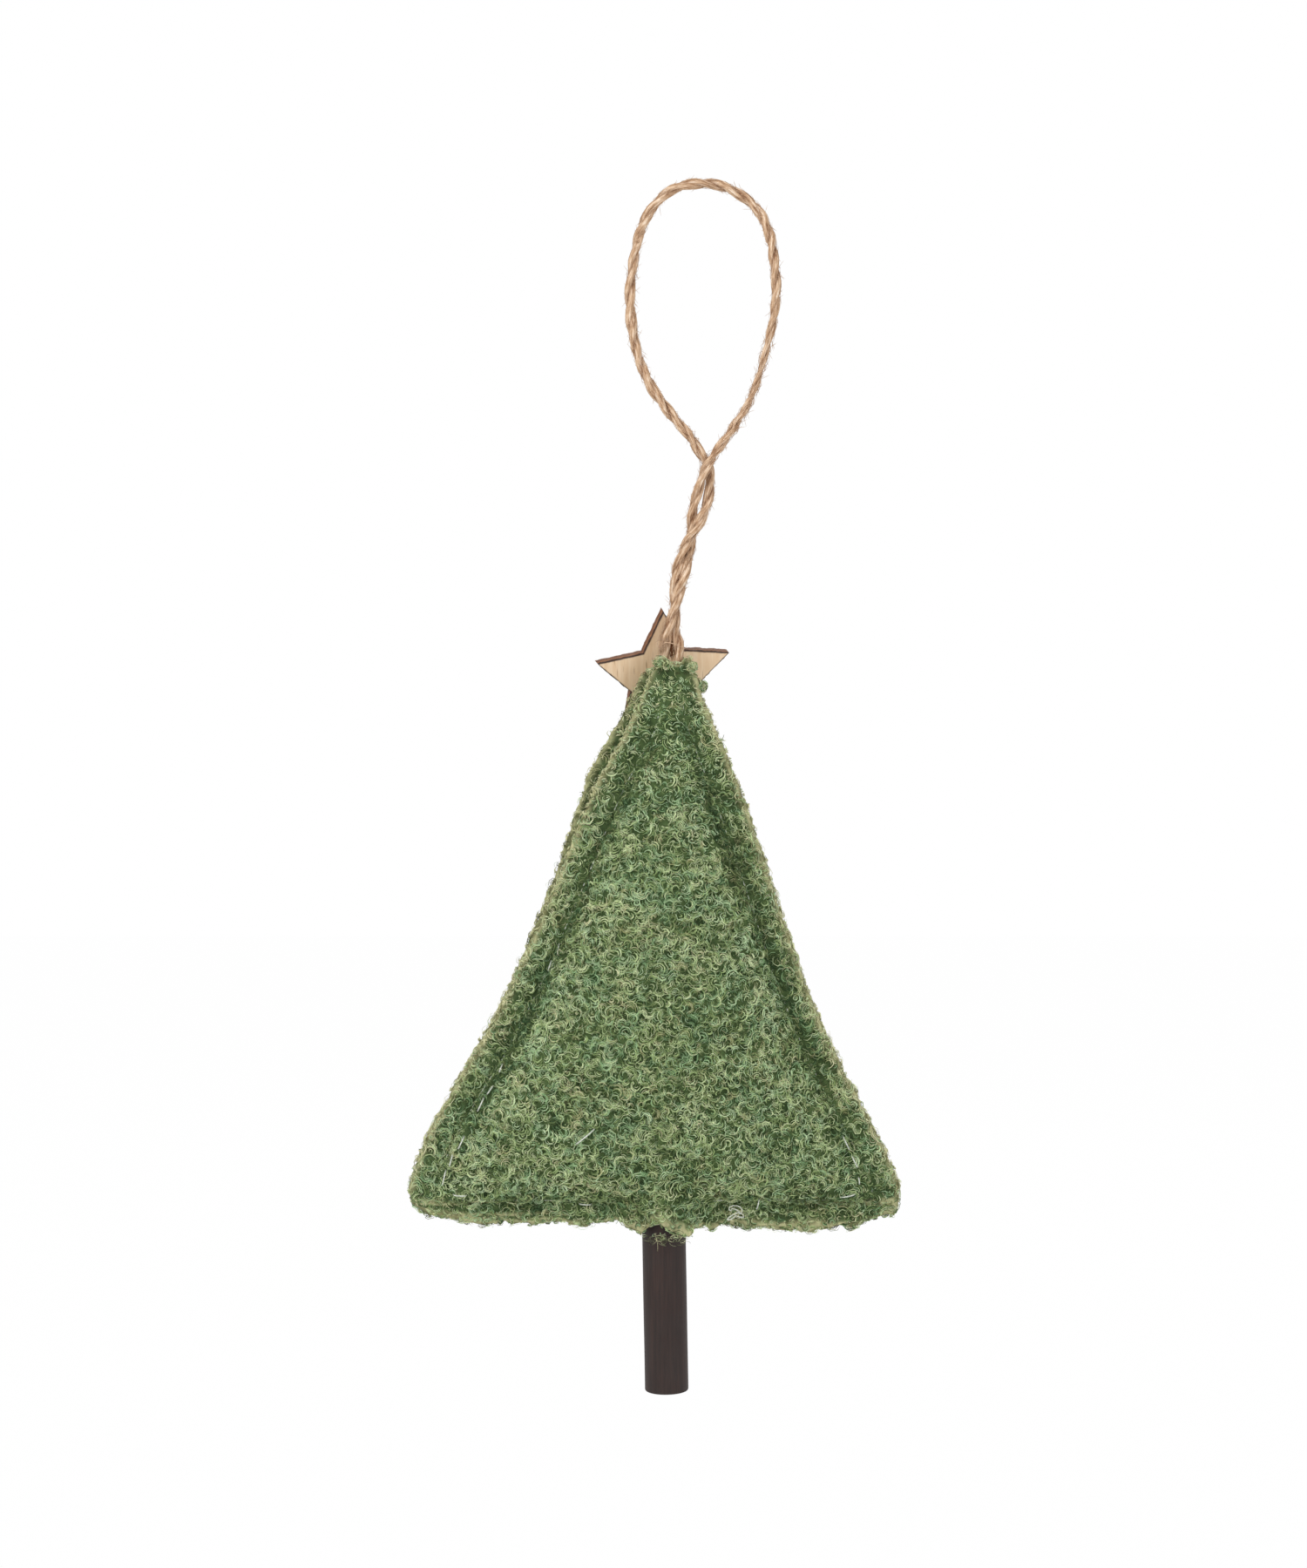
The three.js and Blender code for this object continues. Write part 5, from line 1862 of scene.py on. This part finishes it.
# %% Plywood
FACE_SHADES = [
    (0.25, (228, 194, 156)),
    (0.45, (238, 207, 171)),
    (0.6, (244, 217, 185)),
    (0.8, (249, 228, 200)),
]
PORE_COLOUR = srgb(176, 138, 104)
WALL_SHADES = [
    (0.1, (48, 32, 24)),
    (0.3, (132, 86, 54)),
    (0.55, (88, 54, 34)),
    (0.8, (148, 100, 64)),
    (1.0, (58, 38, 28)),
]
CHAR_SHARES = [(0.0, 1.0), (0.2, 0.75), (0.5, 0.12), (0.9, 0.0)]
LAYER_WOBBLE = 0.35
CHAR_WOBBLE = -0.5
ply = Finish("laser-cut plywood", roughness=0.7, specular=0.3)
ply_grain = add_grain(ply, ply.on_map("grain"), (9.0, 0.9, 1.0), (0, 0, math.radians(3)))
face_colour = ply.ramp(ply_grain.outputs["Streaks"], FACE_SHADES)
face_colour = ply.mix(ply_grain.outputs["Pores"], face_colour, PORE_COLOUR)
char_noise = ply.noise(ply.places(), Scale=900.0, Detail=3.0)
layer = ply.maths("MULTIPLY_ADD", char_noise, LAYER_WOBBLE, ply.attribute("ply_layer"))
wall_colour = ply.ramp(layer, WALL_SHADES)
depth = ply.maths("MULTIPLY_ADD", char_noise, CHAR_WOBBLE, ply.attribute("wall_depth"))
char_share = ply.ramp(depth, [(at, (share, share, share, 1)) for at, share in CHAR_SHARES])
ply.colour(ply.mix(char_share, face_colour, wall_colour))
ply.bump(ply_grain.outputs["Streaks"], 0.25, 0.0002)
ply.wear(star, "plywood")

# %% Stained dowel
STAIN_SHADES = [(0.25, (34, 26, 23)), (0.5, (45, 34, 31)), (0.75, (60, 44, 38))]
BLOTCH_SHADES = [(0.4, (255, 255, 255)), (0.7, (255, 226, 218))]
stain = Finish("dark stained wood", roughness=0.62, specular=0.35)
stain_places = stain.places()
stain_grain = add_grain(stain, stain_places, (1500.0, 1500.0, 70.0))
stain_colour = stain.ramp(stain_grain.outputs["Streaks"], STAIN_SHADES)
blotch_tint = stain.ramp(stain.noise(stain_places, Scale=90.0, Detail=3.0), BLOTCH_SHADES)
stain.colour(stain.mix(1.0, stain_colour, blotch_tint, "MULTIPLY"))
stain.bump(stain_grain.outputs["Streaks"], 0.3, 0.0002)
stain.wear(trunk, "dark_wood")

# %% Glue and filling
GLUE_SHADES = [(0.35, (196, 184, 152)), (0.65, (224, 218, 198))]
glue, patches = mottled("dried glue", 0.3, 0.5, GLUE_SHADES, Scale=500.0, Detail=2.0)
glue.bump(patches, 0.4, 0.0003)
glue.wear(dab, "glue")

FIBRE_SHADES = [(0.3, (196, 196, 190)), (0.7, (240, 240, 236))]
fibre_noise = {"Scale": 300.0, "Detail": 5.0, "Distortion": 1.5}
fibre, patches = mottled("fibre filling", 0.9, 0.2, FIBRE_SHADES, **fibre_noise)
fibre.bump(patches, 0.6, 0.0006)
fibre.wear(filling, "fibrefill")

# %% Ride on the tree
for side, cloth in cloths.items():
    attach(cloth, "tree")
    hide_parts(side + "_panel")
for piece in (*pile, *threads, twine_fray):
    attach(piece, "tree")
for piece, node in ((star, "star"), (dab, "star_glue"), (trunk, "trunk"), (filling, "stuffing")):
    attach(piece, "tree")
    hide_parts(node)

# %% Stage
FLOOR_BELOW_TRUNK = 85
FLOOR_LEVEL = place(0, 0, -TRUNK_SHOWN - FLOOR_BELOW_TRUNK).z
bpy.ops.mesh.primitive_plane_add(size=6, location=(0, 0, FLOOR_LEVEL))
floor = bpy.context.object
floor.name = "floor"
FLOOR_COLOUR = (0.85, 0.85, 0.85, 1)
FLOOR_WHITENESS = 0.99
AMBIENT_RANGE = {"To Min": 0.5, "To Max": 1.0}


def background_rays(tree):
    """A value of 1 for rays that show the background: the camera's, mirrored and refracted ones."""
    rays = tree.add("LightPath")
    total = rays.outputs["Is Camera Ray"]
    for kind in ("Is Glossy Ray", "Is Transmission Ray"):
        total = tree.maths("MAXIMUM", total, rays.outputs[kind])
    return total


paint = Finish("pale floor", roughness=0.9, specular=0.1)
paint.colour(FLOOR_COLOUR)
white = paint.maths("MULTIPLY", background_rays(paint), FLOOR_WHITENESS)
both = paint.add("MixShader", Fac=white)
paint.feed(both.inputs[1], paint.shader.outputs["BSDF"])
paint.feed(both.inputs[2], paint.add("Emission", Strength=1.0).outputs["Emission"])
paint.feed(paint.nodes["Material Output"].inputs["Surface"], both.outputs["Shader"])
paint.wear(floor)

world = bpy.data.worlds.new("studio")
bpy.context.scene.world = world
world.use_nodes = True
studio = Tree(world.node_tree)
brightness = studio.add("MapRange", Value=background_rays(studio), **AMBIENT_RANGE)
background = studio.nodes["Background"]
studio.feed(background.inputs["Color"], (1, 1, 1, 1))
studio.feed(background.inputs["Strength"], brightness.outputs["Result"])


def softbox(name, location, size, power):
    """A square lamp that faces the middle of the ornament."""
    data = bpy.data.lights.new(name, "AREA")
    data.size = size
    data.energy = power
    lamp = bpy.data.objects.new(name, data)
    lamp.location = location
    aim = view_middle - Vector(location)
    lamp.rotation_euler = aim.to_track_quat("-Z", "Y").to_euler()
    bpy.context.scene.collection.objects.link(lamp)


softbox("key softbox", location=(-0.6, -0.72, 0.5), size=0.7, power=7.4)
softbox("fill softbox", location=(0.8, -0.7, 0.0), size=0.8, power=3.0)
softbox("back softbox", location=(0.2, 0.9, 0.5), size=0.8, power=4.0)
